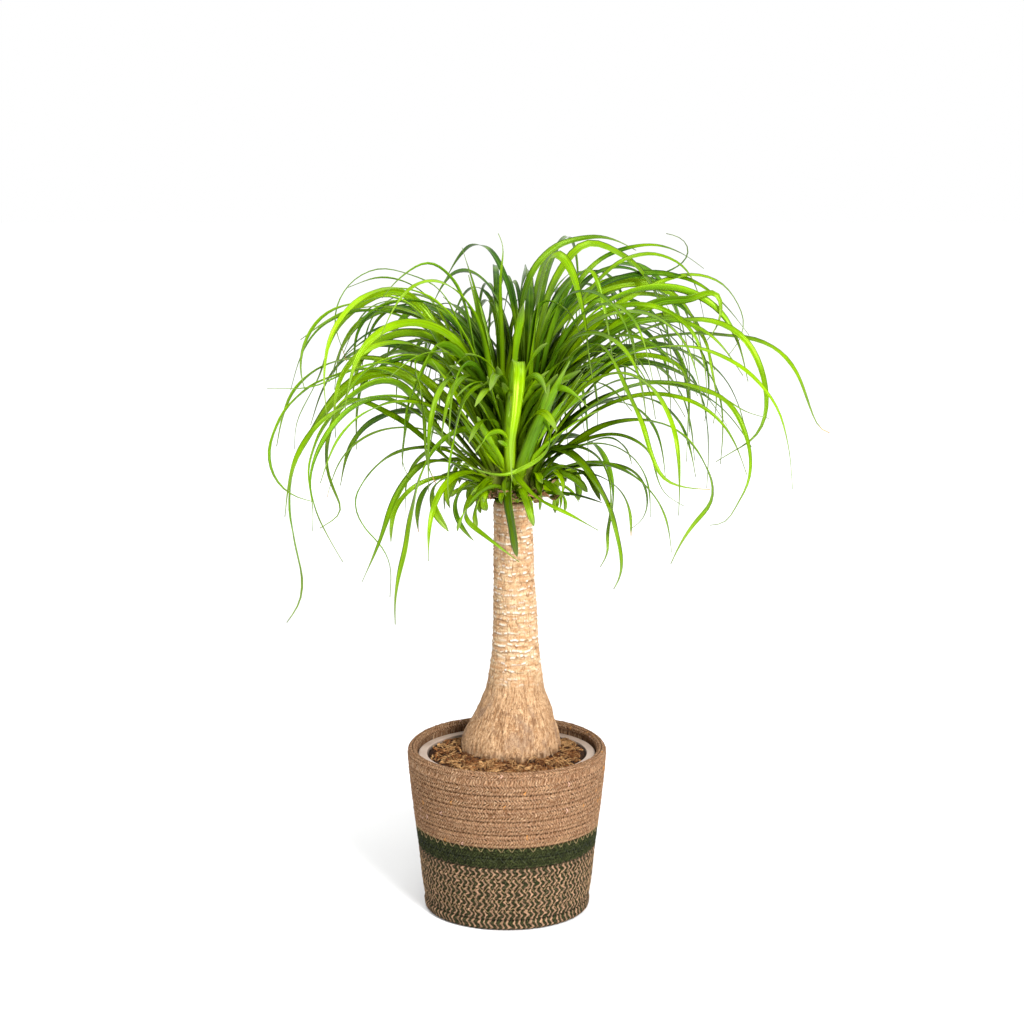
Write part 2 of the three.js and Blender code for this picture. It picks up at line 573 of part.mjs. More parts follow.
// Where a leaf starts: inside the core's surface, at a height and on the side it will grow towards.
function leafRoot(head, height, turn) {
  const position = toRadians(head.azimuth + ROOT_SPREAD * turn);
  const inside = mix(CORE_RADIUS, CORE_TOP_RADIUS, height / CORE_HEIGHT) - ROOT_DEPTH;
  return new THREE.Vector3(
    head.x + inside * Math.cos(position),
    head.y + inside * Math.sin(position),
    TRUNK_TOP + height,
  );
}

function ruledLeaf(head, i) {
  const outward = (head.oldest * (i + 0.5)) / head.leaves;
  const turn = ((i * GOLDEN) % 1) * 2 - 1;
  const azimuths = [HEAD_SECTOR, HEAD_SECTOR + HEAD_FAN].map((reach) => head.azimuth + reach * turn);
  const rise = lookUp(LEAF_RISE, outward, 1) + between(-RISE_SPREAD, RISE_SPREAD);
  const fall = between(...LEAF_FALL);
  const stiffness = mix(...LEAF_STIFFNESS, outward) + between(...STIFFNESS_SPREAD);
  const length = head.reach * between(...LENGTH_SPREAD) * lookUp(LEAF_LENGTH, outward, 1);
  const width = between(...LEAF_WIDTH) * lookUp(LEAF_SLIMMING, outward, 1);
  const twist = between(-LEAF_TWIST, LEAF_TWIST);
  const root = leafRoot(head, mix(...ROOT_HEIGHTS, outward), turn);
  return blade(archedCourse(root, azimuths, rise, fall, stiffness, length), width, twist, BLADE_STEPS);
}

function shapedLeaf(head, width, tipDepth, twist, drawn) {
  const [highest, lowest] = ROOT_HEIGHTS;
  const height = THREE.MathUtils.clamp(DRAWN_ROOT * (drawn[0][1] - TRUNK_TOP), lowest, highest);
  const tip = drawn[drawn.length - 1];
  const bearing = THREE.MathUtils.radToDeg(Math.atan2(tipDepth - head.y, tip[0] - head.x));
  const turn = THREE.MathUtils.euclideanModulo(bearing - head.azimuth + 180, 360) - 180;
  const root = leafRoot(head, height, THREE.MathUtils.clamp(turn / HEAD_SECTOR, -1, 1));
  return blade(drawnCourse(root, tipDepth, drawn), width, twist, SHAPED_STEPS);
}

function leafyHead(head) {
  seed = head.seed;
  const solids = [headCore(head)];
  for (let i = 0; i < head.leaves; i += 1) solids.push(ruledLeaf(head, i));
  SHAPED.filter(([name]) => name === head.name).forEach(([, width, tipDepth, twist, drawn]) => {
    solids.push(shapedLeaf(head, width, tipDepth, twist, drawn));
  });
  return outerBody(wasm.Manifold.union(solids).simplify(MERGE_TOLERANCE));
}

HEADS.forEach((head) => {
  const x = trunkX(TRUNK_TOP) + HEAD_RING * Math.cos(toRadians(head.azimuth));
  const y = TRUNK_Y + HEAD_RING * Math.sin(toRadians(head.azimuth));
  addPiece(head.name, toGeometry(leafyHead({ ...head, x, y })), 0x6faa1e, 0.4);
});

export default model;
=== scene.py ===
"""Potted ponytail palm in a coiled rope basket. Metres, +Z up, +X right, +Y to the back."""

import math

import bpy
import numpy as np
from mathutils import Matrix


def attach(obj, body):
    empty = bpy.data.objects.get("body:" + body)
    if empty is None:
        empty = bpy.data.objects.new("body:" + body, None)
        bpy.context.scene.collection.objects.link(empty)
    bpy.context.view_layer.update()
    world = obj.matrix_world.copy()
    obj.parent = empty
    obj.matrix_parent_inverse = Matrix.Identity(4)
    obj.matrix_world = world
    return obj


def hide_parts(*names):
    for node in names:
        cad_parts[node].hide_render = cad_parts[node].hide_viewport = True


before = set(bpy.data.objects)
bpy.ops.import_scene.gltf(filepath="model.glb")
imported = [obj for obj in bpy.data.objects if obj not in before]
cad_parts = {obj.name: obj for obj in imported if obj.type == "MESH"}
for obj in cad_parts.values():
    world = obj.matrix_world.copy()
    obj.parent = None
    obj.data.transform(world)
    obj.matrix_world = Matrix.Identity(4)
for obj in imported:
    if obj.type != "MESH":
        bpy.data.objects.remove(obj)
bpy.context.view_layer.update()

MM = 0.001
TAU = 2 * math.pi
GAP = 0.3  # between solids that rest on one another, in millimetres

# ---- Sizes, in millimetres, as in the solids -------------------------------------------------

BASKET_HEIGHT = 162
BASKET_FOOT_RADIUS = 74
BASKET_OUTLINE = [[6, 80], [31, 83.8], [62, 86.8], [104, 92.2], [141, 96.2], [162, 97.6]]
BASKET_WALL = 8.5
BASKET_BASE = 8
CORD_BULGE = 1.4
RIM_ROLL = 5
BAND_SEAMS = {"mixed": 64, "green": 85, "tan": 152}
MIXED_ROWS, GREEN_ROWS, TAN_ROWS = 6, 2, 5

POT_TOP = 155.5
POT_RIM_OUTER = 86.4
POT_RIM_INNER = 78
POT_RIM_DEPTH = 6
POT_FOOT_RADIUS = 60
POT_WALL = 1.4
POT_FLOOR = BASKET_BASE + GAP

SOIL_EDGE = 150
SOIL_AT_TRUNK = 158

TRUNK_Y = 10
TRUNK_UNDERSIDE = 119
TRUNK_TOP = 404
TRUNK_PROFILE = [
    [121, 20, 4], [127, 34, 4], [135, 43, 4], [145, 48, 4], [156, 49.5, 4], [165, 48.3, 4],
    [171, 46.8, 4.2], [179, 43.8, 5], [187, 40.2, 6], [194, 37.6, 7], [200, 35, 7.5],
    [206, 32.6, 7.8], [212, 30.2, 8], [218, 28.2, 8.4], [230, 26.2, 8.4], [242, 24.3, 8.4],
    [254, 22.9, 8.6], [266, 22.3, 8.4], [284, 21.4, 8.2], [302, 20.8, 7.8], [326, 19.8, 7],
    [355, 19.2, 6.4], [386, 18.8, 6], [402, 18.6, 6], [404, 17, 6],
]

HEAD_RING = 18.5
HEAD_SECTOR = 34
HEAD_FAN = 4
CORE_RADIUS = 9.6
CORE_TOP_RADIUS = 5
CORE_HEIGHT = 66
ROOT_DEPTH = 3
ROOT_SPREAD = 62
GOLDEN = 0.618034
HEADS = {
    "head_front": (-90, 13, 0.6, 0.62, 11),
    "head_right": (-18, 9, 1, 1.02, 12),
    "head_back_right": (54, 24, 0.9, 1.08, 23),
    "head_back_left": (126, 22, 0.95, 0.9, 14),
    "head_left": (198, 10, 1, 0.9, 15),
}
ROOT_HEIGHTS = (62, 8)
LEAF_LENGTH = [[0, 285], [0.35, 385], [0.65, 330], [0.85, 205], [1, 110]]
LEAF_RISE = [[0, 86], [0.4, 78], [0.75, 52], [1, 20]]
LEAF_SLIMMING = [[0, 1], [0.7, 1], [1, 0.6]]
RISE_SPREAD = 6
LEAF_FALL = (68, 95)
LEAF_STIFFNESS = (1.8, 1.2)
STIFFNESS_SPREAD = (-0.2, 0.3)
LENGTH_SPREAD = (0.85, 1.12)
LEAF_WIDTH = (8, 13)
LEAF_TWIST = 70
ARCH_PARTS = 10
ARCH_END = 0.9
EYE = np.array([5.0, -2500.0, 880.0])
DEPTH_EASE = 1.7
DRAWN_ROOT = 0.35

# Leaves with a course of their own, by head: width, depth of the tip, twist in degrees, and the course
# as [across, height] seen from the front by an eye at EYE, on the plane through the origin.
DRAWN_LEAVES = {
    "head_left": [
        (5.5, 15, 30, [[-28, 500], [-60, 605], [-90, 622], [-122, 628], [-150, 612], [-163, 580],
         [-152, 540]]),
        (7, 45, 40, [[-35, 510], [-65, 590], [-90, 613], [-120, 620], [-150, 610]]),
        (8.5, -40, 45, [[-24, 500], [-34, 565], [-46, 610], [-72, 634], [-100, 620], [-118, 600]]),
        (12.5, -20, 55, [[-45, 520], [-85, 588], [-110, 602], [-140, 596], [-162, 590], [-180, 577],
         [-193, 553], [-196, 530], [-192, 512]]),
        (10, 35, -50, [[-40, 510], [-80, 592], [-105, 607], [-132, 598], [-152, 582], [-166, 562],
         [-176, 530], [-190, 503], [-201, 480], [-203, 455]]),
        (10, 5, 60, [[-60, 490], [-120, 532], [-175, 522], [-196, 509], [-213, 490], [-225, 463],
         [-227, 443], [-220, 424], [-205, 410], [-185, 404]]),
        (7, -60, 20, [[-50, 490], [-110, 538], [-150, 530], [-185, 515], [-228, 514]]),
        (14, 20, -60, [[-50, 470], [-100, 528], [-140, 524], [-168, 498], [-190, 464], [-205, 433],
         [-208, 395], [-202, 355], [-197, 330], [-200, 305], [-213, 285]]),
        (11, -40, 55, [[-55, 460], [-105, 520], [-130, 518], [-165, 490], [-185, 455], [-190, 428],
         [-186, 400], [-187, 375]]),
        (8.5, -110, 40, [[-60, 470], [-120, 505], [-160, 485], [-188, 430], [-183, 395], [-165, 357],
         [-158, 345]]),
        (11, -100, -45, [[-50, 440], [-105, 485], [-152, 502], [-170, 466], [-172, 440], [-165, 414],
         [-158, 394], [-180, 378]]),
        (14, -110, 30, [[-38, 474], [-64, 460], [-80, 436], [-90, 400], [-97, 360], [-104, 330],
         [-108, 306], [-108, 283]]),
        (10, -90, 35, [[-45, 440], [-78, 442], [-100, 420], [-112, 395], [-122, 365], [-140, 325]]),
        (8.5, -70, -30, [[-60, 455], [-110, 450], [-140, 420], [-146, 402], [-138, 380], [-120, 360],
         [-112, 340], [-113, 310]]),
        (14, -60, 40, [[-22, 500], [-48, 550], [-64, 556], [-80, 530], [-93, 500], [-98, 470],
         [-100, 440], [-92, 425]]),
        (11, -72, 35, [[-40, 500], [-72, 540], [-88, 542], [-82, 515], [-78, 480], [-76, 440],
         [-68, 422]]),
        (8.5, -50, 30, [[-20, 500], [-33, 548], [-50, 535], [-70, 505]]),
        (10, -30, 20, [[-22, 424], [-40, 420], [-50, 402], [-46, 385], [-32, 366]]),
        (10, -50, -20, [[-45, 430], [-70, 420], [-69, 395], [-56, 375]]),
    ],
    "head_front": [
        (11, -100, 30, [[0, 445], [-5, 490], [-12, 513], [-24, 518], [-40, 504], [-47, 480], [-53, 450],
         [-57, 420], [-55, 403]]),
        (5.5, -95, 10, [[-14, 420], [-36, 402], [-40, 388], [-20, 370], [12, 345]]),
        (12.5, -135, 0, [[3, 450], [5, 500], [9, 534], [11, 541], [12, 530], [9, 492], [4, 458],
         [5, 424]]),
        (5.5, -120, 10, [[4, 436], [16, 420], [36, 403], [60, 392], [88, 376]]),
        (11, -35, 0, [[3, 430], [1, 408], [6, 378], [10, 350]]),
        (7, -45, 0, [[12, 420], [20, 400], [26, 380]]),
        (5.5, -100, 40, [[16, 450], [26, 486], [38, 480], [42, 462], [34, 448], [18, 438], [0, 430],
         [-20, 432], [-45, 443]]),
        (17, -80, 0, [[20, 450], [36, 490], [50, 520], [60, 540]]),
    ],
    "head_back_left": [
        (8.5, 60, 10, [[-10, 520], [-28, 600], [-42, 648]]),
        (15.5, 45, 0, [[-12, 500], [-24, 570], [-36, 622]]),
        (5.5, 40, 0, [[-4, 540], [-6, 620], [-3, 650], [-8, 661]]),
    ],
    "head_back_right": [
        (11, 110, 30, [[14, 540], [18, 610], [42, 646], [80, 658], [102, 655], [122, 645]]),
        (7, 130, 20, [[40, 560], [80, 630], [112, 647], [142, 650], [166, 642], [186, 628]]),
        (5.5, 110, 0, [[40, 540], [90, 600], [125, 616], [152, 625], [168, 635], [172, 646], [165, 657],
         [150, 661]]),
    ],
    "head_right": [
        (7, 20, 20, [[50, 560], [100, 630], [130, 642], [156, 637], [171, 625], [181, 605], [187, 580]]),
        (8.5, 30, 40, [[50, 530], [100, 590], [145, 615], [166, 622], [186, 621], [206, 612], [220, 592],
         [225, 576], [220, 558], [210, 545]]),
        (12.5, -10, 60, [[55, 520], [105, 575], [150, 598], [172, 598], [188, 605], [199, 606],
         [203, 590], [199, 572], [190, 560]]),
        (10, 10, 60, [[60, 500], [120, 555], [170, 566], [212, 564], [241, 559], [260, 548], [275, 530],
         [285, 506], [293, 485], [301, 472], [308, 471]]),
        (10, -30, 50, [[55, 500], [120, 565], [180, 580], [207, 574], [226, 561], [239, 539], [247, 510],
         [246, 486], [236, 466], [216, 453], [200, 443]]),
        (8.5, -50, 45, [[60, 480], [130, 520], [200, 508], [216, 494], [228, 470], [233, 445], [231, 422],
         [220, 400], [210, 383], [195, 381]]),
        (5.5, 20, 10, [[60, 480], [130, 518], [205, 505], [226, 492], [250, 485]]),
        (12.5, -70, 50, [[50, 450], [100, 480], [140, 482], [162, 474], [181, 455], [191, 438],
         [197, 420], [196, 403], [181, 385], [166, 361], [158, 343]]),
        (8.5, 0, 40, [[60, 490], [120, 545], [165, 535], [173, 515], [173, 490], [172, 443]]),
        (10, -80, 30, [[40, 500], [70, 552], [88, 557], [101, 540], [115, 510], [129, 480], [138, 450],
         [150, 426], [170, 418], [195, 416]]),
        (7, -50, 20, [[50, 450], [100, 470], [135, 455], [143, 430], [151, 412], [170, 400]]),
        (12.5, 25, 40, [[30, 560], [50, 625], [76, 652], [110, 640], [135, 615], [150, 580], [155, 550],
         [160, 527], [165, 505]]),
        (14, -55, 25, [[26, 560], [36, 625], [46, 644], [58, 632], [70, 595], [76, 560], [81, 525],
         [88, 500]]),
        (8.5, -40, 15, [[40, 560], [62, 615], [78, 630], [90, 600], [97, 565], [100, 545]]),
        (10, -25, 20, [[22, 540], [34, 598], [54, 592], [68, 570], [76, 550]]),
        (10, 0, 30, [[50, 540], [88, 600], [110, 580], [120, 558], [123, 530]]),
        (8.5, 40, 30, [[80, 540], [150, 585], [185, 565], [195, 530], [200, 500], [197, 480]]),
        (15.5, -90, 30, [[42, 456], [62, 450], [80, 430], [95, 405], [101, 388], [108, 360], [110, 332],
         [103, 318]]),
        (11, -75, 25, [[30, 440], [60, 458], [85, 450], [97, 430], [100, 400], [96, 370], [98, 355],
         [90, 340]]),
        (8.5, -60, 10, [[35, 440], [65, 456], [100, 467], [115, 455], [120, 440]]),
        (8.5, -50, 20, [[50, 435], [98, 440], [120, 435], [132, 420], [135, 400], [130, 385],
         [120, 378]]),
        (8.5, -50, 10, [[44, 437], [75, 432], [90, 405]]),
        (7, -40, 10, [[40, 412], [60, 412], [85, 405], [92, 403]]),
    ],
}

# ---- Helpers ---------------------------------------------------------------------------------

rng = np.random.default_rng(4127)
LATTICE = rng.random((32, 32, 32)) * 2 - 1


def look_up(table, x, column=1):
    table = np.asarray(table, float)
    return np.interp(x, table[:, 0], table[:, column])


def mix(a, b, t):
    return a + (b - a) * t


def smooth_step(low, high, x):
    t = np.clip((x - low) / (high - low), 0, 1)
    return t * t * (3 - 2 * t)


def unit(vectors):
    return vectors / np.linalg.norm(vectors, axis=-1, keepdims=True)


def round_angles(count):
    return np.arange(count) * TAU / count


def polar(radius, angle, z):
    """Points round the Z axis."""
    return np.stack(np.broadcast_arrays(radius * np.cos(angle), radius * np.sin(angle), z), -1)


def noise(x, y, z):
    """Smooth noise from -1 to 1 at each point."""
    p = np.stack(np.broadcast_arrays(x, y, z), -1).astype(float)
    cell = np.floor(p).astype(int)
    near = p - cell
    near = near * near * (3 - 2 * near)
    total = 0
    for corner in np.ndindex(2, 2, 2):
        weight = np.where(corner, near, 1 - near)
        at = (cell + corner) % len(LATTICE)
        value = LATTICE[at[..., 0], at[..., 1], at[..., 2]]
        total = total + weight[..., 0] * weight[..., 1] * weight[..., 2] * value
    return total


def make_piece(name, points, faces, slot, material, replaces=(), values=None, corners=None):
    """A mesh piece from points in millimetres, riding on the one body of the part."""
    mesh = bpy.data.meshes.new(name)
    mesh.from_pydata((np.asarray(points) * MM).tolist(), [], [list(map(int, f)) for f in faces])
    for domain, layers in (("POINT", values or {}), ("CORNER", corners or {})):
        for key, numbers in layers.items():
            numbers = np.asarray(numbers, np.float32)
            kind, field = ("FLOAT", "value") if numbers.ndim == 1 else ("FLOAT_VECTOR", "vector")
            mesh.attributes.new(key, kind, domain).data.foreach_set(field, numbers.ravel())
    mesh.polygons.foreach_set("use_smooth", np.ones(len(mesh.polygons), bool))
    mesh.materials.append(material)
    mesh.update()
    piece = bpy.data.objects.new(name, mesh)
    bpy.context.collection.objects.link(piece)
    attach(piece, "root")
    if replaces:
        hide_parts(*replaces)


def grid_quads(rows, columns, wrap_rows=False):
    """Quads of a grid of points, rows by columns, closed round its columns."""
    i, j = np.meshgrid(np.arange(rows if wrap_rows else rows - 1), np.arange(columns), indexing="ij")
    below, above = i * columns, (i + 1) % rows * columns
    after = (j + 1) % columns
    return np.stack([below + j, below + after, above + after, above + j], -1).reshape(-1, 4).tolist()


def capped_grid(rows, columns):
    """Grid quads with a fan at each end, round the two points that follow the grid's own."""
    faces = grid_quads(rows, columns)
    base, last = rows * columns, (rows - 1) * columns
    for j in range(columns):
        k = (j + 1) % columns
        faces += [[base, k, j], [base + 1, last + j, last + k]]
    return faces


def tube_faces(rings, sides):
    """Grid quads with one flat face at each end."""
    ends = [list(range(sides))[::-1], [(rings - 1) * sides + k for k in range(sides)]]
    return grid_quads(rings, sides) + ends


def tube(path, radius, sides):
    """Points and faces of a round tube along a path."""
    forward = unit(np.gradient(path, axis=0))
    side = unit(np.cross(forward, (0.31, 0.23, 0.92)))
    over = np.cross(side, forward)
    angle = round_angles(sides)[:, None]
    ring = side[:, None] * np.cos(angle) + over[:, None] * np.sin(angle)
    return (path[:, None] + radius * ring).reshape(-1, 3), tube_faces(len(path), sides)


class Parts:
    """Many small closed shapes that make up one mesh."""

    def __init__(self):
        self.points, self.faces, self.values, self.count = [], [], {}, 0

    def add(self, points, faces, **values):
        self.points.append(points)
        self.faces += [[k + self.count for k in face] for face in faces]
        for key, numbers in values.items():
            numbers = np.broadcast_to(np.asarray(numbers, float), (len(points),))
            self.values.setdefault(key, []).append(numbers)
        self.count += len(points)

    def piece(self, name, slot, material, replaces=()):
        values = {key: np.concatenate(rows) for key, rows in self.values.items()}
        make_piece(name, np.vstack(self.points), self.faces, slot, material, replaces, values)


# ---- Materials -------------------------------------------------------------------------------

# How far above the white background the lamps light a surface that faces them.
LAMP_LEVEL = 2.35


def paint(*levels):
    """The surface colour that shows as this sRGB colour in the studio's light."""
    values = [v / 255 for v in levels]
    linear = [v / 12.92 if v <= 0.04045 else ((v + 0.055) / 1.055) ** 2.4 for v in values]
    return tuple(v / LAMP_LEVEL for v in linear) + (1.0,)


class Material:
    """Builds a node material: sockets, numbers and colours are passed straight to each node."""

    def __init__(self, name, roughness, specular):
        self.material = bpy.data.materials.new(name)
        self.material.use_nodes = True
        self.tree = self.material.node_tree
        self.shader = self.tree.nodes["Principled BSDF"]
        self.shader.inputs["Specular IOR Level"].default_value = specular
        if roughness is not None:
            self.shader.inputs["Roughness"].default_value = roughness

    def link(self, value, socket):
        if isinstance(value, bpy.types.NodeSocket):
            self.tree.links.new(value, socket)
        else:
            socket.default_value = value

    def node(self, kind, inputs=(), **settings):
        made = self.tree.nodes.new("ShaderNode" + kind)
        for key, value in settings.items():
            setattr(made, key, value)
        for key, value in dict(inputs).items():
            self.link(value, made.inputs[key])
        return made

    def math(self, operation, a, b=0.0):
        return self.node("Math", {0: a, 1: b}, operation=operation).outputs[0]

    def times(self, a, b):
        return self.math("MULTIPLY", a, b)

    def from_middle(self, value):
        """0 where the value is a half, 1 where it is 0 or 1."""
        return self.math("ABSOLUTE", self.math("SUBTRACT", self.times(value, 2.0), 1.0))

    def combine(self, x, y, z=0.0):
        return self.node("CombineXYZ", {0: x, 1: y, 2: z}).outputs[0]

    def remap(self, value, low, high, to_low=0.0, to_high=1.0, smooth=False):
        kind = "SMOOTHSTEP" if smooth else "LINEAR"
        inputs = {"Value": value, "From Min": low, "From Max": high, "To Min": to_low, "To Max": to_high}
        return self.node("MapRange", inputs, interpolation_type=kind).outputs[0]

    def blend(self, factor, a, b):
        inputs = {0: factor, 6: a, 7: b}
        return self.node("Mix", inputs, data_type="RGBA", clamp_factor=True).outputs[2]

    def between(self, factor, low, high):
        """A colour between two sRGB colours."""
        return self.blend(factor, paint(*low), paint(*high))

    def coat(self, colour, *layers):
        """Lays sRGB colours over a colour, each through a mask of its own."""
        for mask, levels in layers:
            colour = self.blend(mask, colour, paint(*levels))
        return colour

    def attribute(self, name, output="Fac"):
        return self.node("Attribute", attribute_name=name).outputs[output]

    def place(self, *scale):
        """Object coordinates, stretched."""
        at = self.node("TexCoord").outputs["Object"]
        return self.node("Mapping", {"Vector": at, "Scale": scale or (1, 1, 1)}).outputs[0]

    def noise(self, vector, scale, detail=3.0, roughness=0.55):
        inputs = {"Vector": vector, "Scale": scale, "Detail": detail, "Roughness": roughness}
        return self.node("TexNoise", inputs).outputs["Fac"]

    def bump(self, height, distance, strength=1.0, over=None):
        inputs = {"Height": height, "Distance": distance, "Strength": strength}
        if over is not None:
            inputs["Normal"] = over
        return self.node("Bump", inputs).outputs[0]

    def finish(self, colour, normal=None, roughness=None):
        for value, socket in ((colour, "Base Color"), (normal, "Normal"), (roughness, "Roughness")):
            if value is not None:
                self.link(value, self.shader.inputs[socket])
        return self.material


FIRST_STRAND = 0.46  # share of a pair of strands that the first of the two takes up


def cord_material(name, strands, pale, dark_fibre_and_shade, painted_deep_shade, hairs, hair_share, flecks=()):
    """Flat-braided cord: two strands side by side in each pair, of twisted fibres, with painted shade at the
    strands' edges, in the weave's hollows and in the gaps where strands cross.
    """
    m = Material(name, 0.9, 0.05)
    pair, part, row = m.node("SeparateXYZ", {0: m.attribute("weave", "Vector")}).outputs
    turn = m.math("FRACT", pair)
    is_second = m.math("GREATER_THAN", turn, FIRST_STRAND)
    in_first = m.math("DIVIDE", turn, FIRST_STRAND)
    in_second = m.math("DIVIDE", m.math("SUBTRACT", turn, FIRST_STRAND), 1 - FIRST_STRAND)
    # Across one strand, 0 to 1, then from its middle (0) to its edges (1).
    local = m.node("Mix", {0: is_second, 2: in_first, 3: in_second}, data_type="FLOAT").outputs[0]
    offset = m.from_middle(local)
    # Each third of a strand has numbers of its own.
    strand = m.math("ADD", m.times(m.math("FLOOR", pair), 2.0), is_second)
    thirds = m.times(part, 3.0)
    own = m.combine(strand, m.math("FLOOR", thirds), row)
    dice = m.node("TexWhiteNoise", {"Vector": own}, noise_dimensions="3D")
    chance = dice.outputs["Value"]
    second_chance = m.node("SeparateXYZ", {0: dice.outputs["Color"]}).outputs[1]
    along = m.combine(m.times(pair, 9.0), m.times(part, 8.0), row)
    fibre = m.noise(along, 1.1, 4.0, 0.7)
    hair = m.noise(along, 0.9, 4.0, 0.75)
    cloud = m.noise(m.place(), 130.0, 3.0, 0.6)
    colour = m.between(is_second, *strands)
    if pale:
        colour = m.coat(colour, (m.remap(chance, 0.3, 1.0, 0.0, 0.7), pale))
    colour = m.coat(
        colour,
        (m.remap(second_chance, 0.0, 0.6, 0.45, 0.0), dark_fibre_and_shade),
        (m.remap(cloud, 0.35, 0.62, 0.35, 0.0), dark_fibre_and_shade),
        (m.remap(fibre, 0.42, 0.6, 0.0, 0.7), dark_fibre_and_shade),
        (m.remap(hair, 0.53, 0.63, 0.0, hair_share), hairs),
        (m.remap(hair, 0.46, 0.38, 0.0, hair_share), dark_fibre_and_shade),
    )
    if flecks:
        short = m.times(m.math("LESS_THAN", offset, 0.6), m.math("GREATER_THAN", fibre, 0.46))
        colour = m.coat(
            colour,
            (m.times(m.math("GREATER_THAN", chance, 0.992), short), flecks[0]),
            (m.times(m.math("LESS_THAN", chance, 0.006), short), flecks[1]),
        )
    relief = m.attribute("relief")
    # Painted shade: darker towards each strand's edges and in the weave's hollows, where the relief is low.
    edge = m.remap(offset, 0.55, 1.0, 0.0, 0.75, smooth=True)
    painted_hollow_shade = m.remap(relief, 0.1, 0.5, 0.95, 0.0, smooth=True)
    # Painted shade in the small gaps where strands pass under one another.
    crossing = m.from_middle(m.math("FRACT", thirds))
    gap = m.times(m.remap(crossing, 0.4, 0.8), m.remap(offset, 0.2, 0.65))
    gap = m.times(gap, m.remap(second_chance, 0.35, 0.5, 0.15, 1.0))
    gap = m.times(gap, m.remap(relief, 0.5, 0.68, 1.0, 0.0))
    colour = m.coat(colour, (m.math("MAXIMUM", edge, painted_hollow_shade), dark_fibre_and_shade), (gap, painted_deep_shade))
    ply = m.math("SINE", m.math("ADD", m.times(part, 84.0), m.times(local, 5.0)))
    return m.finish(colour, m.bump(ply, 0.00025, 0.5, over=m.bump(fibre, 0.0005, 0.7)))


# In each cord, the colour for dark fibres is also the painted shade at strand edges and in hollows, and the
# colour after it is the painted shade in the gaps.
CORDS = {
    "tan_cord": cord_material(
        "tan_cord", ((198, 150, 110), (178, 132, 94)), (222, 178, 134), (104, 68, 43), (42, 26, 15),
        (250, 216, 178), 0.8, ((226, 150, 62), (236, 190, 170)),
    ),
    "green_cord": cord_material(
        "green_cord", ((68, 76, 37), (36, 43, 18)), (94, 102, 56), (11, 14, 5), (3, 5, 2),
        (126, 132, 84), 0.72,
    ),
    "mixed_cord": cord_material(
        "mixed_cord", ((236, 186, 148), (50, 63, 31)), None, (38, 34, 17), (16, 18, 7), (240, 206, 168), 0.24,
    ),
}


def thread_material():
    m = Material("sewing_thread", 0.6, 0.3)
    shade = m.attribute("shade")
    colour = m.between(m.remap(shade, 0.0, 0.5), (30, 36, 18), (196, 148, 104))
    return m.finish(m.coat(colour, (m.remap(shade, 0.5, 1.0), (206, 178, 124))))


def plastic_material():
    m = Material("pot_plastic", None, 0.45)
    cloud = m.noise(m.place(), 45.0, 5.0, 0.6)
    fine = m.noise(m.place(), 900.0, 3.0)
    # Painted shade down the inside of the pot and on its outside under the rim, blotched by noise, with a
    # little dirt on the rim's top.
    dirt_and_shade = m.times(m.attribute("down"), m.remap(cloud, 0.3, 0.6, 0.45, 1.0))
    colour = m.between(m.remap(cloud, 0.35, 0.65), (190, 164, 144), (216, 192, 172))
    colour = m.coat(colour, (dirt_and_shade, (120, 104, 92)))
    return m.finish(colour, m.bump(fine, 0.00006, 0.5), m.remap(cloud, 0.3, 0.7, 0.34, 0.52))


def soil_material():
    m = Material("soil", 0.92, 0.12)
    grain = m.noise(m.place(), 700.0, 5.0, 0.7)
    tone = m.attribute("tone")
    colour = m.coat(
        m.between(m.remap(tone, 0.0, 0.5), (26, 15, 7), (164, 102, 54)),
        (m.remap(tone, 0.5, 1.0), (246, 192, 128)),
        (m.remap(grain, 0.42, 0.6, 0.0, 0.7), (70, 42, 22)),
    )
    return m.finish(colour, m.bump(grain, 0.0005))


def bark_material():
    """Wrinkled and brown on the swollen base, paler and ringed on the column."""
    m = Material("bark", 0.85, 0.15)
    upright = m.node("Mapping", {"Vector": m.attribute("ridge", "Vector"), "Scale": (1, 1, 0.26)})
    streak = m.noise(upright.outputs[0], 0.95, 4.0, 0.75)
    grit = m.noise(m.place(1, 1, 0.6), 800.0, 4.0, 0.8)
    level = m.noise(m.place(0.25, 0.25, 1), 420.0, 4.0, 0.6)
    patch = m.noise(m.place(1, 1, 0.8), 48.0, 3.0)
    warm = m.noise(m.place(), 110.0, 3.0)
    low = m.coat(
        # Painted light on the raised wrinkles and painted shade in the hollows between them, by how raised
        # the bark is.
        m.between(m.remap(m.attribute("lift"), 0.2, 0.8), (176, 130, 88), (216, 172, 128)),
        (m.remap(streak, 0.48, 0.36, 0.0, 0.85), (134, 94, 60)),
        (m.remap(streak, 0.54, 0.66, 0.0, 0.8), (244, 208, 162)),
        (m.remap(grit, 0.45, 0.38, 0.0, 0.9), (98, 76, 56)),
        (m.remap(grit, 0.58, 0.66, 0.0, 0.75), (255, 232, 192)),
        (m.remap(patch, 0.55, 0.68, 0.0, 0.5), (146, 122, 104)),
    )
    high = m.coat(
        m.between(m.remap(level, 0.38, 0.6), (208, 158, 112), (240, 210, 166)),
        (m.remap(warm, 0.5, 0.66, 0.0, 0.5), (226, 174, 124)),
        (m.remap(grit, 0.46, 0.36, 0.0, 0.8), (164, 114, 72)),
    )
    colour = m.coat(
        m.blend(m.attribute("high"), low, high),
        # Near-white on the scar ridges: partly their own pale edge, partly painted highlight.
        (m.attribute("pale_edge_and_highlight"), (255, 252, 240)),
        # Partly the bark's own dark cracks, partly painted shade in the clefts and grooves.
        (m.attribute("crack_and_shade"), (122, 80, 46)),
        # Soil dirt at the foot of the trunk, and painted shade at its top under the leaf heads.
        (m.attribute("soil_dirt_and_top_shade"), (92, 62, 36)),
    )
    return m.finish(colour, m.bump(streak, 0.0009, 0.8, over=m.bump(grit, 0.0005, 0.6)))


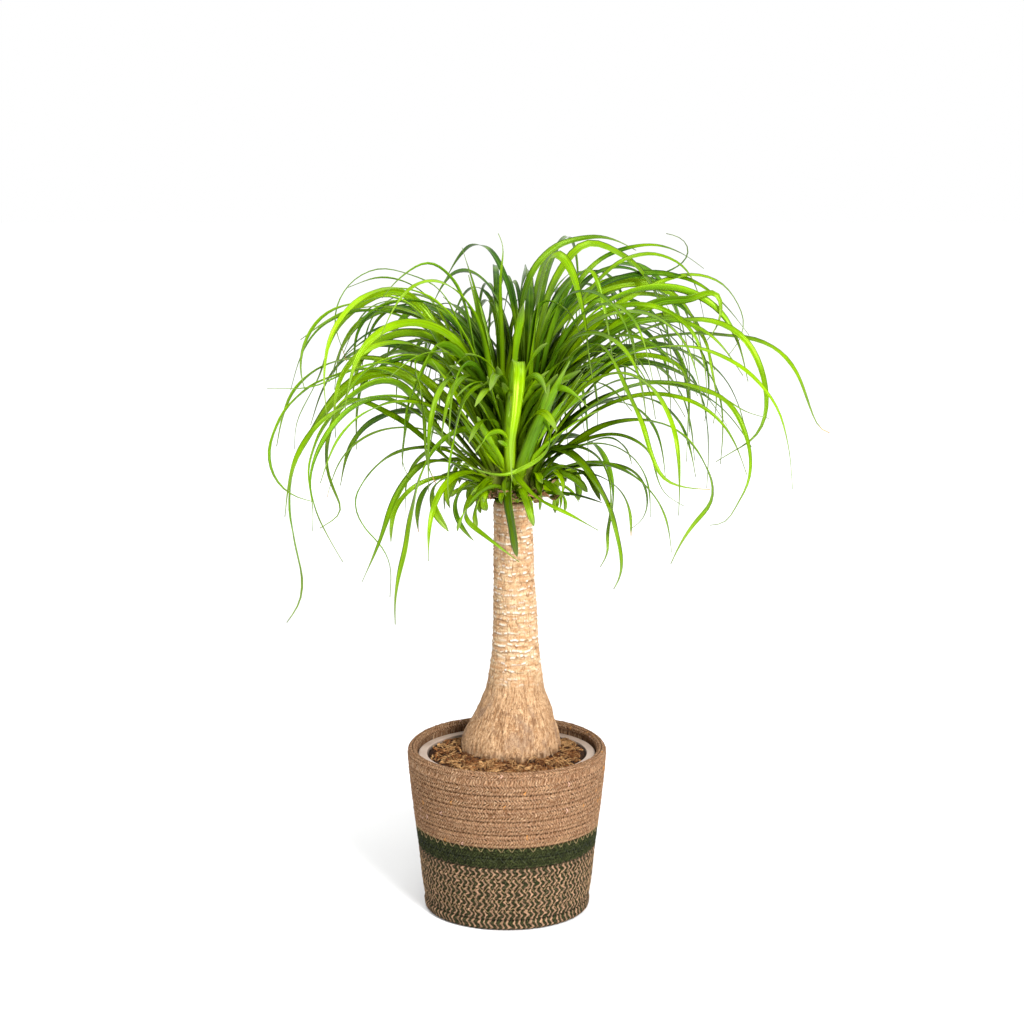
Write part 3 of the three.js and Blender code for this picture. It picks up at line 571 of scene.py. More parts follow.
def leaf_material():
    m = Material("leaf", None, 0.24)
    along, across, tone = m.attribute("along"), m.attribute("across"), m.attribute("tone")
    lane = m.combine(m.times(across, 5.0), m.times(along, 3.0), m.times(tone, 40.0))
    streak = m.noise(lane, 1.8, 4.0, 0.65)
    cloud = m.noise(m.place(), 22.0, 3.0)
    rib = m.remap(m.math("ABSOLUTE", across), 0.0, 0.14, 0.4, 0.0, smooth=True)
    young = m.times(m.remap(along, 0.02, 0.36, 0.85, 0.0, smooth=True), tone)
    # Painted shade: leaves darken nearer the heart of the crown, the darker-toned ones most.
    painted_deep_shade = m.times(m.attribute("inner"), m.remap(tone, 0.1, 0.7, 0.8, 0.0))
    end = m.remap(along, 0.955, 0.99, 0.0, 1.0, smooth=True)
    colour = m.coat(
        m.between(tone, (38, 84, 0), (168, 214, 0)),
        (m.remap(streak, 0.35, 0.6, 0.55, 0.0), (22, 54, 0)),
        (m.remap(cloud, 0.45, 0.65, 0.0, 0.35), (170, 216, 0)),
        (rib, (124, 196, 16)),
        (m.times(m.attribute("under"), 0.4), (100, 160, 30)),
        (young, (190, 230, 8)),
        (painted_deep_shade, (14, 42, 0)),
        (m.remap(along, 0.0, 0.07, 0.9, 0.0, smooth=True), (196, 208, 96)),
        (m.remap(along, 0.8, 1.0, 0.0, 0.55, smooth=True), (126, 140, 84)),
        (m.times(end, m.attribute("tip")), (196, 150, 84)),
    )
    paper = m.noise(m.place(), 420.0, 4.0, 0.7)
    husk = m.between(m.remap(paper, 0.4, 0.6), (140, 92, 54), (228, 180, 132))
    colour = m.blend(m.attribute("dry"), colour, husk)
    veins = m.math("SINE", m.times(across, 15.0))
    # The sheen of a leaf is greener than that of plastic.
    m.shader.inputs["Specular Tint"].default_value = (0.65, 1.0, 0.15, 1)
    return m.finish(colour, m.bump(veins, 0.0001, 0.3), m.remap(streak, 0.3, 0.7, 0.22, 0.34))


def bract_material():
    m = Material("dry_bract", 0.8, 0.3)
    lane = m.combine(m.times(m.attribute("across"), 6.0), m.attribute("along"))
    streak = m.noise(lane, 2.0, 4.0)
    colour = m.between(m.remap(streak, 0.35, 0.65), (150, 98, 60), (232, 186, 140))
    return m.finish(colour, m.bump(streak, 0.0004))


# ---- Basket ----------------------------------------------------------------------------------

PAIR_WIDTH = 5.9  # two strands of cord, along the row
STRAND_DEPTH = 0.95
ZIGZAG = 0.3  # how far a strand leans to and fro within its row, in pairs
HOLE_DEPTH = 0.9
PLAIN_RELIEF = 0.6
SOFT_SEAM = 0.3  # how much of the weave's depth is left where the thread pulls a seam tight
ROW_SAMPLES = 13
COLUMNS_PER_PAIR = 8
# How much higher the soft wall stands towards the back of its rim, and where the lift begins and ends.
RIM_LIFT = 4.5
LIFT_DEPTH = (-30, 97)
LIFT_HEIGHT = (90, BASKET_HEIGHT)
# The rounded lowest row, from the underside to the wall.
FOOT_CORNER = [(76.5, 0.2), (79.4, 0.9), (81.0, 3.2), (81.6, 6.8), (81.9, BAND_SEAMS["mixed"] / MIXED_ROWS)]
FOOT_RING = 6.6


def wall_radius(z):
    return look_up(BASKET_OUTLINE, z)


def inner_radius(z):
    return wall_radius(z) - BASKET_WALL


def rim_lift(y, z):
    return RIM_LIFT * smooth_step(*LIFT_DEPTH, y) * smooth_step(*LIFT_HEIGHT, z)


def triangle_wave(x):
    """From -1 to 1 and back, with period 1."""
    return 4 * np.abs(x - np.floor(x + 0.5)) - 1


class Band:
    """A band of braided rows: an outer skin of strands over a plain back."""

    def __init__(self, name, middle, seed):
        self.name = name
        self.pairs = round(TAU * wall_radius(middle) / PAIR_WIDTH)
        self.columns = self.pairs * COLUMNS_PER_PAIR
        self.random = np.random.default_rng(seed)
        self.rings = []

    def plain(self, out, *rings):
        """Adds rings without a weave, each with its radius and height."""
        for radius, z in rings:
            self.rings.append((radius, z, *out, 0.5, 0.0, 0, 0.0))

    def rows(self, edge, count, first_row=0, soft_row=None):
        """Adds rows of cord. edge(t) gives radius, height and outward direction, t from 0 to 1.

        The seam above the last row (soft_row -1) or below the first (0) may be soft.
        """
        for row in range(count):
            for k in range(ROW_SAMPLES):
                part = k / ROW_SAMPLES
                radius, z, out = edge((row + part) / count)
                bulge = (1 - abs(2 * part - 1) ** 7) ** 0.6
                share = 1.0
                if soft_row == -1 and row == count - 1:
                    share = float(mix(1, SOFT_SEAM, smooth_step(0.6, 1, part)))
                elif soft_row == 0 and row == 0:
                    share = float(mix(SOFT_SEAM, 1, smooth_step(0, 0.35, part)))
                self.rings.append((radius, z, *out, bulge, part, first_row + row, share))
        return first_row + count

    def build(self, slot, node, poles=None):
        """Makes the piece. poles are the heights of its two middle points, where it isn't a closed ring."""
        rings, columns = len(self.rings), self.columns
        table = np.array(self.rings, float).T
        radius, z, out, rise, bulge, part, row, share = table[:, :, None]
        angle = np.arange(columns + 1) * TAU / columns
        row_count = int(row.max()) + 1
        shift = self.random.random(row_count) * 7
        lean = np.where(self.random.random(row_count) < 0.5, 1.0, -1.0)
        wander = self.random.random((row_count, 8)) * TAU

        def pair_at(row_of, part_of, angle_of):
            """How many pairs of strands lie before a point of a row."""
            r = row_of.astype(int)
            drift = sum(
                0.05 * np.sin((5 + 7 * k) * angle_of + wander[r, k] + 2.2 * part_of * (k % 3))
                for k in range(8)
            )
            zig = ZIGZAG * lean[r] * triangle_wave(1.5 * part_of + 0.25 * lean[r])
            turns = self.pairs * angle_of / TAU
            stray = 0.07 * noise(1.3 * turns, 3.1 * part_of, 7.1 * r + 0.5)
            return turns + shift[r] + zig + drift + stray

        pair = pair_at(row, part, angle[None, :-1])
        turn = pair - np.floor(pair)
        second = turn > FIRST_STRAND
        local = np.where(second, (turn - FIRST_STRAND) / (1 - FIRST_STRAND), turn / FIRST_STRAND)
        across = np.sqrt(np.clip(1 - 0.97 * (2 * local - 1) ** 2, 0, 1))
        third = part * 3 - np.floor(part * 3)
        chance = self.random.random((row_count, 3, 2 * self.pairs + 80))
        strand = (np.floor(pair) * 2 + second).astype(int) % chance.shape[2]
        lift = chance[row.astype(int), np.floor(part * 3).astype(int), strand]
        relief = across * (1 - 0.5 * np.abs(2 * third - 1) ** 4) * (0.6 + 0.4 * lift)
        # Gaps where strands pass under one another, and the needle's holes along the seams.
        crossing = smooth_step(0.55, 1.0, np.abs(2 * third - 1)) * smooth_step(0.5, 0.3, lift)
        hole = np.maximum(crossing, smooth_step(0.72, 1.0, np.abs(2 * part - 1))) * (1 - across)
        push = -CORD_BULGE * (1 - bulge) - STRAND_DEPTH * (1 - relief) - HOLE_DEPTH * hole
        push = push * share
        at_radius, at_height = radius + out * push, z + rise * push
        at_height = at_height + rim_lift(at_radius * np.sin(angle[:-1]), at_height)
        points = polar(at_radius, angle[:-1], at_height).reshape(-1, 3)
        closed = poles is None
        faces = grid_quads(rings, columns, wrap_rows=True) if closed else capped_grid(rings, columns)
        # The weave's own coordinates at the corners of each face, so that rows and turns don't blur.
        row_of, part_of, share_of = table[6], table[5], table[7]
        strip = np.arange(rings if closed else rings - 1)
        face_row, low = np.repeat(row_of[strip], columns), np.repeat(part_of[strip], columns)
        following = part_of[(strip + 1) % rings]
        upper = np.where(following > part_of[strip], following, 1.0)
        upper = np.repeat(np.where(share_of[strip] > 0, upper, part_of[strip]), columns)
        start, end = np.tile(angle[:-1], len(strip)), np.tile(angle[1:], len(strip))
        corner = [
            np.stack([pair_at(face_row, height, turned), height, face_row], -1)
            for height, turned in ((low, start), (low, end), (upper, end), (upper, start))
        ]
        corner = np.stack(corner, 1).reshape(-1, 3)
        # The relief tells the cord material where to paint shade: in the hollows and in the gaps between
        # strands.
        relief = np.maximum(relief * (0.62 + 0.38 * bulge), 1 - share)
        relief = np.where(share > 0, relief, PLAIN_RELIEF).ravel()
        if not closed:
            points = np.vstack([points, [[0, 0, height] for height in poles]])
            relief = np.append(relief, [PLAIN_RELIEF, PLAIN_RELIEF])
            corner = np.vstack([corner, np.zeros((6 * columns, 3))])
        layers = {"relief": relief}, {"weave": corner}
        make_piece(self.name, points, faces, slot, CORDS[slot], (node,), *layers)


def wall_edge(low, high):
    """The wall's outside between two heights, with the direction it faces."""

    def edge(t):
        z = mix(low, high, t)
        slope = wall_radius(z + 0.5) - wall_radius(z - 0.5)
        length = math.hypot(1, slope)
        return wall_radius(z), z, (1 / length, -slope / length)

    return edge


def foot_edge(t):
    at = t * (len(FOOT_CORNER) - 1)
    k = min(int(at), len(FOOT_CORNER) - 2)
    radius, z = [mix(a, b, at - k) for a, b in zip(FOOT_CORNER[k], FOOT_CORNER[k + 1])]
    turn = math.radians(mix(-80, -6, min(1, 1.3 * t)))
    return radius, z, (math.cos(turn), math.sin(turn))


def roll_edge(t):
    """The rounded rim, from outside over the top to the inside."""
    turn = math.radians(mix(-35, 215, t))
    out = (math.cos(turn), math.sin(turn))
    centre = BASKET_HEIGHT - RIM_ROLL
    return wall_radius(centre) - RIM_ROLL + RIM_ROLL * out[0], centre + RIM_ROLL * out[1], out


def basket():
    mixed_top, green_top, tan_top = BAND_SEAMS["mixed"], BAND_SEAMS["green"], BAND_SEAMS["tan"]
    outward = (1, 0)

    def behind(z):
        return wall_radius(z) - CORD_BULGE - 1, z

    def inside(z):
        return inner_radius(z), z

    band = Band("basket_mixed", 36, 21)
    for radius in np.arange(7, BASKET_FOOT_RADIUS - 2, FOOT_RING):  # the flat underside, wound in rings
        band.plain((0, -1), (radius, 0.0), (radius + FOOT_RING / 2, 0.9))
    rows = band.rows(foot_edge, 1)
    top = mixed_top - GAP
    band.rows(wall_edge(mixed_top / MIXED_ROWS, top), MIXED_ROWS - 1, first_row=rows)
    band.plain(outward, behind(top), inside(top), inside(14), (inner_radius(8) - 5, BASKET_BASE),
               (30, BASKET_BASE))
    band.build("mixed_cord", "basket_mixed_coils", (0.4, BASKET_BASE))

    band = Band("basket_green", 75, 22)
    top = green_top - GAP
    band.rows(wall_edge(mixed_top, top), GREEN_ROWS)
    band.plain(outward, behind(top), inside(top), inside(mixed_top), behind(mixed_top))
    band.build("green_cord", "basket_green_coils")

    band = Band("basket_tan", 125, 23)
    rows = band.rows(wall_edge(green_top, tan_top), TAN_ROWS, soft_row=-1)
    band.rows(roll_edge, 2, first_row=rows, soft_row=0)
    band.plain(outward, inside(tan_top - 4), inside(green_top), behind(green_top))
    band.build("tan_cord", "basket_tan_coils")


STITCH_LENGTH = 10
STITCH_REACH = 3.7
THREAD_RADIUS = 0.17
THREAD_STEPS = 7
THREAD_SIDES = 5


def sewing():
    """A zigzag of thin thread over each seam: dark on green, tan on tan, pale on the mixed cord."""
    mixed_top, green_top, tan_top = BAND_SEAMS["mixed"], BAND_SEAMS["green"], BAND_SEAMS["tan"]
    seams = [(k * mixed_top / MIXED_ROWS, 0.7) for k in range(2, MIXED_ROWS)]
    seams += [(mixed_top, 0.1), (0.5 * (mixed_top + green_top), 0.0), (green_top, 0.9)]
    tan_row = (tan_top - green_top) / TAN_ROWS
    seams += [(green_top + k * tan_row, 0.5) for k in range(1, TAN_ROWS + 1)]
    parts = Parts()
    t = np.linspace(0, 1, THREAD_STEPS)
    sink = np.clip(np.abs(2 * t - 1) - 0.8, 0, 1) * 5
    for seam, shade in seams:
        count = 2 * round(TAU * wall_radius(seam) / STITCH_LENGTH)
        start = rng.random() * TAU
        tips = rng.uniform(-0.18, 0.18, count + 1)
        reach = rng.uniform(0.75, 1.1, count + 1)
        for k in range(count):
            way = STITCH_REACH if k % 2 else -STITCH_REACH
            after = (k + 1) % count
            z = mix(seam + way * reach[k], seam - way * reach[after], t)
            angle = start + (k + mix(tips[k], 1 + tips[after], t)) * TAU / count
            dip = np.exp(-((z - seam) / 1.6) ** 2)
            path = polar(wall_radius(z) + 0.1 - 0.7 * dip - sink * 0.9, angle, z)
            path[:, 2] += rim_lift(path[:, 1], path[:, 2])
            parts.add(*tube(path, THREAD_RADIUS, THREAD_SIDES), shade=shade)
    parts.piece("sewing_thread", "tan_cord", thread_material())


# ---- Nursery pot -----------------------------------------------------------------------------

POT_COLUMNS = 200
POT_SWAY = 0.35


def pot_inside(z):
    rise = (z - POT_FLOOR) / (POT_TOP - POT_FLOOR)
    return mix(POT_FOOT_RADIUS, POT_RIM_INNER + POT_WALL, rise) - POT_WALL


def nursery_pot():
    top, under, skirt = POT_TOP, POT_TOP - POT_WALL, POT_TOP - POT_RIM_DEPTH
    rim, hole = POT_RIM_OUTER, POT_RIM_INNER
    # Radius, height and how much dirt and painted shade: up the outside, round the flat rim and down the
    # inside.
    profile = [
        (POT_FOOT_RADIUS - 2, POT_FLOOR, 1), (POT_FOOT_RADIUS, POT_FLOOR + 2, 1),
        (pot_inside(top - 8) + POT_WALL, top - 8, 0.6), (pot_inside(top - 2) + POT_WALL, under - 0.6, 0.4),
        (pot_inside(top) + POT_WALL + 0.8, under, 0.3), (rim - POT_WALL - 0.4, under, 0),
        (rim - POT_WALL, under - 0.5, 0), (rim - POT_WALL, skirt + 0.3, 0), (rim - 0.7, skirt, 0),
        (rim, skirt + 0.4, 0), (rim, top - 1.4, 0), (rim - 0.25, top - 0.6, 0), (rim - 0.8, top - 0.1, 0),
        (rim - 1.6, top, 0), (rim - 3.0, top - 0.25, 0.05), (hole + 2.4, top - 0.3, 0.05),
        (hole + 1.2, top - 0.1, 0), (hole + 0.3, top - 0.1, 0),
    ]
    inside = [(top - 0.6, 0.15), (top - 1.6, 0.5), (top - 5, 0.9), (top - 12, 1), (POT_FLOOR + 6, 1)]
    profile += [(pot_inside(z), z, dirt_and_shade) for z, dirt_and_shade in inside]
    profile += [(pot_inside(POT_FLOOR + 2) - 2, POT_FLOOR + POT_WALL, 1)]
    radius, z, dirt_and_shade = np.array(profile, float).T[:, :, None]
    angle = round_angles(POT_COLUMNS)
    sway = POT_SWAY * noise(2 * np.cos(angle), 2 * np.sin(angle), 3.3)
    high = smooth_step(120, POT_TOP, z)
    points = polar(radius + 0.5 * high * sway, angle, z + high * np.minimum(sway, 0.25)).reshape(-1, 3)
    points = np.vstack([points, [[0, 0, POT_FLOOR]], [[0, 0, POT_FLOOR + POT_WALL]]])
    down = np.append(np.repeat(dirt_and_shade, POT_COLUMNS), [1, 1])
    make_piece("nursery_pot_skin", points, capped_grid(len(profile), POT_COLUMNS), "pot_plastic",
               plastic_material(), ("nursery_pot",), {"down": down})


# ---- Trunk -----------------------------------------------------------------------------------

TRUNK_COLUMNS = 336
BARK_STEP = 0.85
BARK_DEPTH = 0.85
# Rows of points lie far apart under the soil, closer above it and closest up the column.
BURIED_TO = 158
FINE_BARK_FROM = 220
LAST_ROW = TRUNK_TOP - 0.6
PLATES = 13  # bark plates round the trunk, between upright cracks
RIDGE_ROUND = 42.0  # radius at which the ridges' pattern keeps its own size
FIRST_SCAR = 226.0
SCAR_STEP = (4.6, 8.0)


def trunk_radius(z):
    return look_up(TRUNK_PROFILE, z, 1)


def trunk_x(z):
    return look_up(TRUNK_PROFILE, z, 2)


def bell(x, width):
    return np.exp(-((x / width) ** 2))


def trunk():
    heights = np.concatenate([
        np.linspace(TRUNK_PROFILE[0][0], BURIED_TO, 8)[:-1],
        np.arange(BURIED_TO, FINE_BARK_FROM, 1.5 * BARK_STEP),
        np.arange(FINE_BARK_FROM, LAST_ROW, BARK_STEP), [LAST_ROW, TRUNK_TOP],
    ])
    angle = round_angles(TRUNK_COLUMNS)
    z = heights[:, None] + 0 * angle
    base = trunk_radius(heights)[:, None]
    cx, cy = base * np.cos(angle), base * np.sin(angle)
    high = smooth_step(200, 254, z + 9 * noise(cx / 9, cy / 9, z / 9))
    # Corky ridges up the swollen base.
    wavy = 1.3 * noise(cx / 9, cy / 9, z / 13 + 2.6)
    turn_x, turn_y = RIDGE_ROUND * np.cos(angle) + wavy, RIDGE_ROUND * np.sin(angle) + wavy
    fine = noise(turn_x / 1.2, turn_y / 1.2, z / 4.6 + 4.1)
    broad = noise(turn_x / 3.2, turn_y / 3.2, z / 13 + 9.7)
    lumps = noise(cx / 14, cy / 14, z / 16 + 1.3)
    # Thin clefts along the lines where a second, wavier grain changes sign.
    grain = noise(turn_x / 1.9, turn_y / 1.9, z / 8 + 5.5)
    broken = smooth_step(-0.35, 0.25, noise(cx / 3, cy / 3, z / 5 + 8.5))
    cleft = smooth_step(0.22, 0.04, np.abs(grain)) * broken
    relief = mix(0.75, 0.2, high) * fine + mix(0.6, 0.2, high) * broad + 0.4 * lumps
    relief = relief - mix(0.8, 0.4, high) * cleft
    # Darker in the clefts: partly the bark's own colour there, partly painted shade.
    crack_and_shade = mix(0.75, 0.4, high) * cleft
    # How raised the bark is, which the bark material turns into painted light on the wrinkles and painted
    # shade between them.
    lift = 0.5 + 0.5 * fine + 0.15 * broad
    pale_edge_and_highlight = np.zeros_like(z)
    # Old leaf scars: rows of short pale ledges, stepped and broken where upright cracks cross them. Their
    # white ridges are partly the scars' own colour, partly painted highlight.
    ring_z, k = FIRST_SCAR, 0
    while ring_z < TRUNK_TOP - 3:
        wander = 0.1 * noise(cx / 6, cy / 6, z / 9 + k)
        cell = PLATES * (angle / TAU + wander) + 0.37 * (k % 5)
        plate = np.floor(cell).astype(int) % PLATES
        step = rng.uniform(-1.6, 1.6, PLATES)[plate]
        tilt = rng.uniform(-1.2, 1.2, PLATES)[plate] * (cell - np.floor(cell) - 0.5)
        strength = rng.uniform(0.25, 1, PLATES)[plate]
        line = ring_z + step + tilt + 0.8 * noise(cx / 8, cy / 8, k * 5.3 + 0.5)
        line = line + 0.45 * noise(cx / 1.8, cy / 1.8, k * 2.1)
        present = strength * smooth_step(214, 244, line)
        gap = z - line
        ridge = bell(gap, 0.75) * present
        groove = bell(gap + 1.6, 0.7) * present
        shelf = smooth_step(-5.0, -0.4, gap) * (1 - smooth_step(-0.2, 0.8, gap)) * present
        beside = np.abs(cell - np.round(cell))
        upright = bell(beside, 0.07) * bell(gap + 2, 3.6) * high
        upright = upright * smooth_step(-0.3, 0.3, noise(cx / 4, cy / 4, k * 3.7))
        relief = relief + 0.9 * ridge - 0.7 * groove + 0.3 * shelf - 0.7 * upright
        # Darker in the groove under each ledge and in the upright cracks: partly the bark's own colour,
        # partly painted shade in these recesses.
        crack_and_shade = np.maximum(crack_and_shade, np.maximum(0.8 * groove, 0.9 * upright))
        dash = smooth_step(-0.15, 0.1, noise(cx / 3.4, cy / 3.4, k * 1.9 + 3))
        dash = dash * smooth_step(0.06, 0.12, beside)
        pale_edge_and_highlight = np.maximum(pale_edge_and_highlight, np.minimum(1, 1.3 * ridge + 0.12 * shelf) * dash)
        ring_z += rng.uniform(*SCAR_STEP)
        k += 1
    radius = base + relief * BARK_DEPTH * smooth_step(150, 160, z)
    radius[-1] = base[-1] * 0.93
    points = polar(radius, angle, z) + np.stack([trunk_x(z), TRUNK_Y + 0 * z, 0 * z], -1)
    ends = [[trunk_x(0), TRUNK_Y, TRUNK_UNDERSIDE], [trunk_x(TRUNK_TOP), TRUNK_Y, TRUNK_TOP - 1.5]]
    points = np.vstack([points.reshape(-1, 3), ends])
    soiled = z - 156 - 5 * noise(cx / 6, cy / 6, 2.2) - 5 * noise(cx / 1.8, cy / 1.8, z / 2)
    soil_dirt_and_top_shade = 0.8 * (1 - smooth_step(-2, 6, soiled))
    # Painted shade on the top of the trunk, under the leaf heads.
    painted_top_shade = 0.5 * smooth_step(398, 404, z + 3 * noise(cx / 5, cy / 5, 6.6))
    values = {
        key: np.append(np.clip(numbers, 0, 1).ravel(), at_ends) for key, numbers, at_ends in (
            ("crack_and_shade", crack_and_shade, [1, 1]), ("pale_edge_and_highlight", pale_edge_and_highlight, [0, 0]), ("lift", lift, [0, 0]),
            ("high", high, [0, 1]), ("soil_dirt_and_top_shade", np.maximum(soil_dirt_and_top_shade, painted_top_shade), [1, 1]),
        )
    }
    values["ridge"] = np.vstack([np.stack([turn_x, turn_y, z], -1).reshape(-1, 3), np.zeros((2, 3))])
    faces = capped_grid(len(heights), TRUNK_COLUMNS)
    make_piece("trunk_bark", points, faces, "bark", bark_material(), ("trunk",), values)


# ---- Soil ------------------------------------------------------------------------------------

SOIL_COLUMNS, SOIL_RINGS = 180, 34
SOIL_HOLE = 40.0  # where the mound's surface ends, under the trunk
TRUNK_FOOT = (4, TRUNK_Y)
MOUND_REACH, MOUND_SLOPE = 78, 34  # how far from the trunk the mound starts, and the width of its rise
CRUMB_CLEARANCE = 47.5  # no crumb lies closer to the middle of the trunk
CRUMBS, CRUMB_SIDES = 820, 6
# Along a crumb, from -1 to 1, and its girth there.
CRUMB_OUTLINE = ((-1, 0.55), (-0.4, 1), (0.4, 0.95), (1, 0.5))
TUFTS, FIBRES_PER_TUFT, FIBRE_SIDES = 230, 9, 4


def from_trunk(x, y):
    return np.hypot(x - TRUNK_FOOT[0], y - TRUNK_FOOT[1])


def soil_height(x, y):
    """The mound's surface, without its crumbs."""
    to_edge = np.hypot(x, y) / (POT_RIM_INNER - 2)
    rise = np.clip((MOUND_REACH - from_trunk(x, y)) / MOUND_SLOPE, 0, 1)
    height = mix(SOIL_EDGE + 1.5, SOIL_AT_TRUNK, rise) - 1.0
    height = height + 2.4 * noise(x / 10, y / 10, 7.7) + 1.8 * noise(x / 4, y / 4, 2.3)
    return height + 1.6 * smooth_step(0.6, 0.9, to_edge) - 8 * np.clip(to_edge - 0.93, 0, 1)


def soil_place():
    """A random place on the mound, outside the trunk."""
    while True:
        a, r = rng.random() * TAU, POT_RIM_INNER * math.sqrt(rng.uniform(0.2, 0.93))
        x, y = r * math.cos(a), r * math.sin(a)
        if from_trunk(x, y) > CRUMB_CLEARANCE:
            return x, y


def add_mound(parts):
    angle = round_angles(SOIL_COLUMNS)
    floor = POT_FLOOR + POT_WALL + GAP
    edge = pot_inside(SOIL_EDGE) - 0.6
    rings = [polar(pot_inside(floor) - 1.0, angle, floor)]
    for k in range(SOIL_RINGS):
        radius = mix(edge, SOIL_HOLE, k / (SOIL_RINGS - 1))
        x, y = radius * np.cos(angle), radius * np.sin(angle)
        rings.append(polar(radius, angle, soil_height(x, y) + rng.normal(0, 0.45, SOIL_COLUMNS) * (k > 0)))
    points = np.vstack([*rings, [[0, 0, floor]], [[*TRUNK_FOOT, SOIL_AT_TRUNK - 4]]])
    faces = capped_grid(len(rings), SOIL_COLUMNS)
    parts.add(points, faces, tone=np.clip(rng.normal(0.02, 0.06, len(points)), 0, 0.3))


def add_crumb(parts):
    """A crumb or a chip of bark, bent and rough."""
    x, y = soil_place()
    z = float(soil_height(x, y))
    size = rng.uniform(0.8, 2.4) if rng.random() < 0.8 else rng.uniform(2.4, 4.6)
    spin, tilt = rng.random() * TAU, rng.uniform(-0.7, 0.7)
    along = np.array([math.cos(spin) * math.cos(tilt), math.sin(spin) * math.cos(tilt), math.sin(tilt)])
    side = unit(np.array([-math.sin(spin), math.cos(spin), rng.uniform(-0.6, 0.6)]))
    up = np.cross(along, side)
    half = size * rng.uniform(0.25, 0.6)
    thick = size * rng.uniform(0.16, 0.4)
    centre = np.array([x, y, z + 0.35 * size])
    curl = rng.uniform(-0.25, 0.25) * size
    ring = round_angles(CRUMB_SIDES)[:, None]
    body = []
    for step, girth in CRUMB_OUTLINE:
        wide = np.cos(ring) * side * half * girth * rng.uniform(0.8, 1.2)
        tall = np.sin(ring) * up * thick * girth
        body.append(centre + along * size * step + up * curl * step * step + wide + tall)
    points = np.vstack(body)
    points = points + rng.normal(0, 0.06 * size, points.shape)
    if np.hypot(points[:, 0], points[:, 1]).max() < pot_inside(z) - 1.0:
        tone = float(np.clip(rng.normal(0.5, 0.42), 0, 1))
        parts.add(points, tube_faces(len(CRUMB_OUTLINE), CRUMB_SIDES), tone=tone)


def add_tuft(parts):
    """A tuft of coir: fibres that lie more or less one way."""
    x0, y0 = soil_place()
    heading, lean = rng.random() * TAU, rng.uniform(0, 2.5)
    tuft_tone = rng.uniform(0.2, 1.1)
    t = np.linspace(-0.5, 0.5, 9)
    for _ in range(FIBRES_PER_TUFT):
        x, y = x0 + rng.normal(0, 2.2), y0 + rng.normal(0, 2.2)
        length, spin = rng.uniform(5, 19), heading + rng.normal(0, 0.5)
        bend = rng.uniform(-0.9, 0.9)
        px = x + length * (t * math.cos(spin) - bend * t * t * math.sin(spin))
        py = y + length * (t * math.sin(spin) + bend * t * t * math.cos(spin))
        arch = rng.uniform(0, 3.5) * (1 - 4 * t * t) * rng.random()
        pz = soil_height(px, py) + rng.uniform(0.3, 2.2) + arch + lean * t * rng.random()
        clear = from_trunk(px, py).min() > CRUMB_CLEARANCE + 1
        if np.hypot(px, py).max() < POT_RIM_INNER - 5 and clear:
            points, body = tube(np.stack([px, py, pz], -1), rng.uniform(0.15, 0.38), FIBRE_SIDES)
            parts.add(points, body, tone=float(np.clip(tuft_tone + rng.normal(0, 0.15), 0, 1)))


def soil():
    parts = Parts()
    add_mound(parts)
    for _ in range(CRUMBS):
        add_crumb(parts)
    for _ in range(TUFTS):
        add_tuft(parts)
    parts.piece("potting_soil_crumbs", "soil", soil_material(), ("potting_soil",))


# ---- Leaves ----------------------------------------------------------------------------------

COURSE_STEP = 2.5
COURSE_SMOOTHING = 14
LEAF_STEPS = 42
LEAF_THICKNESS = 0.55
# Places across a blade, from edge to edge: on its upper face, then back on its under face.
UPPER = [-1, -0.62, -0.22, 0, 0.22, 0.62, 1]
UNDER = [0.6, 0, -0.6]
SECTION = len(UPPER) + len(UNDER)
GROOVE = 0.14  # depth of the line along the middle
RUFFLE = 0.3  # height of the waves along the edges
SWAY = 48  # how far a blade turns to and fro along its course, degrees
# Share of the full width along a leaf, from its base to its thin tip.
LEAF_OUTLINE = ([0, 0.08, 0.25, 0.5, 0.7, 0.84, 0.93, 1], [0.8, 0.9, 1, 1, 0.84, 0.52, 0.2, 0.06])
SHORT_LEAF = 150
SHORT_OUTLINE = ([0, 0.1, 0.3, 0.86, 0.95, 1], [0.7, 0.9, 1, 0.97, 0.6, 0.06])
TIP_WIDTH = 0.8
CHANNEL = ([0, 0.06, 0.2, 0.6, 1], [0.75, 0.55, 0.3, 0.16, 0.3])  # depth, as a share of half the width

CROWN_CENTRE = np.array([6.0, TRUNK_Y])
HEART = np.append(CROWN_CENTRE, TRUNK_TOP + 48)  # shaded by the leaves around it
CORE_COLUMNS, CORE_RINGS = 48, 22

# How light each head's leaves are, partly their own tone and partly painted shade on the heads towards the
# back: the front ones are the palest and those at the back right the darkest.
HEAD_TONES = {
    "head_front": 0.7, "head_left": 0.46, "head_back_left": 0.14, "head_back_right": 0.05, "head_right": 0.32,
}
DRAWN_TONE = 0.42  # of the drawn leaves, where their head is lighter
BROWN_TIPS = 0.12
STRAYING = 24
RULED_SLIMMING = (0.5, 0.9)
DRAWN_SLIMMING = 0.78
FRONT_FALL = 0.35  # the front head's ruled blades are stiffer and shorter than the solids'
FRONT_LENGTH = 0.68
YOUNG_LEAVES = {
    "head_front": 20, "head_left": 7, "head_back_left": 10, "head_back_right": 12, "head_right": 8,
}
LONG_LEAVES = {
    "head_front": 0, "head_left": 3, "head_back_left": 12, "head_back_right": 18, "head_right": 4,
}
HEART_LEAVES = 11
SKIRT_LEAVES, FRONT_SKIRT_LEAVES = 11, 4
STUBS = 5
BRACTS = 6
BRACT_RUFFLE = 0.8


class Draws:
    """The solids' own row of random numbers."""

    FACTOR, STEP, SIZE = 1664525, 1013904223, 2**32

    def __init__(self, seed):
        self.seed = seed

    def between(self, low, high):
        self.seed = (self.seed * self.FACTOR + self.STEP) % self.SIZE
        return low + (high - low) * self.seed / self.SIZE


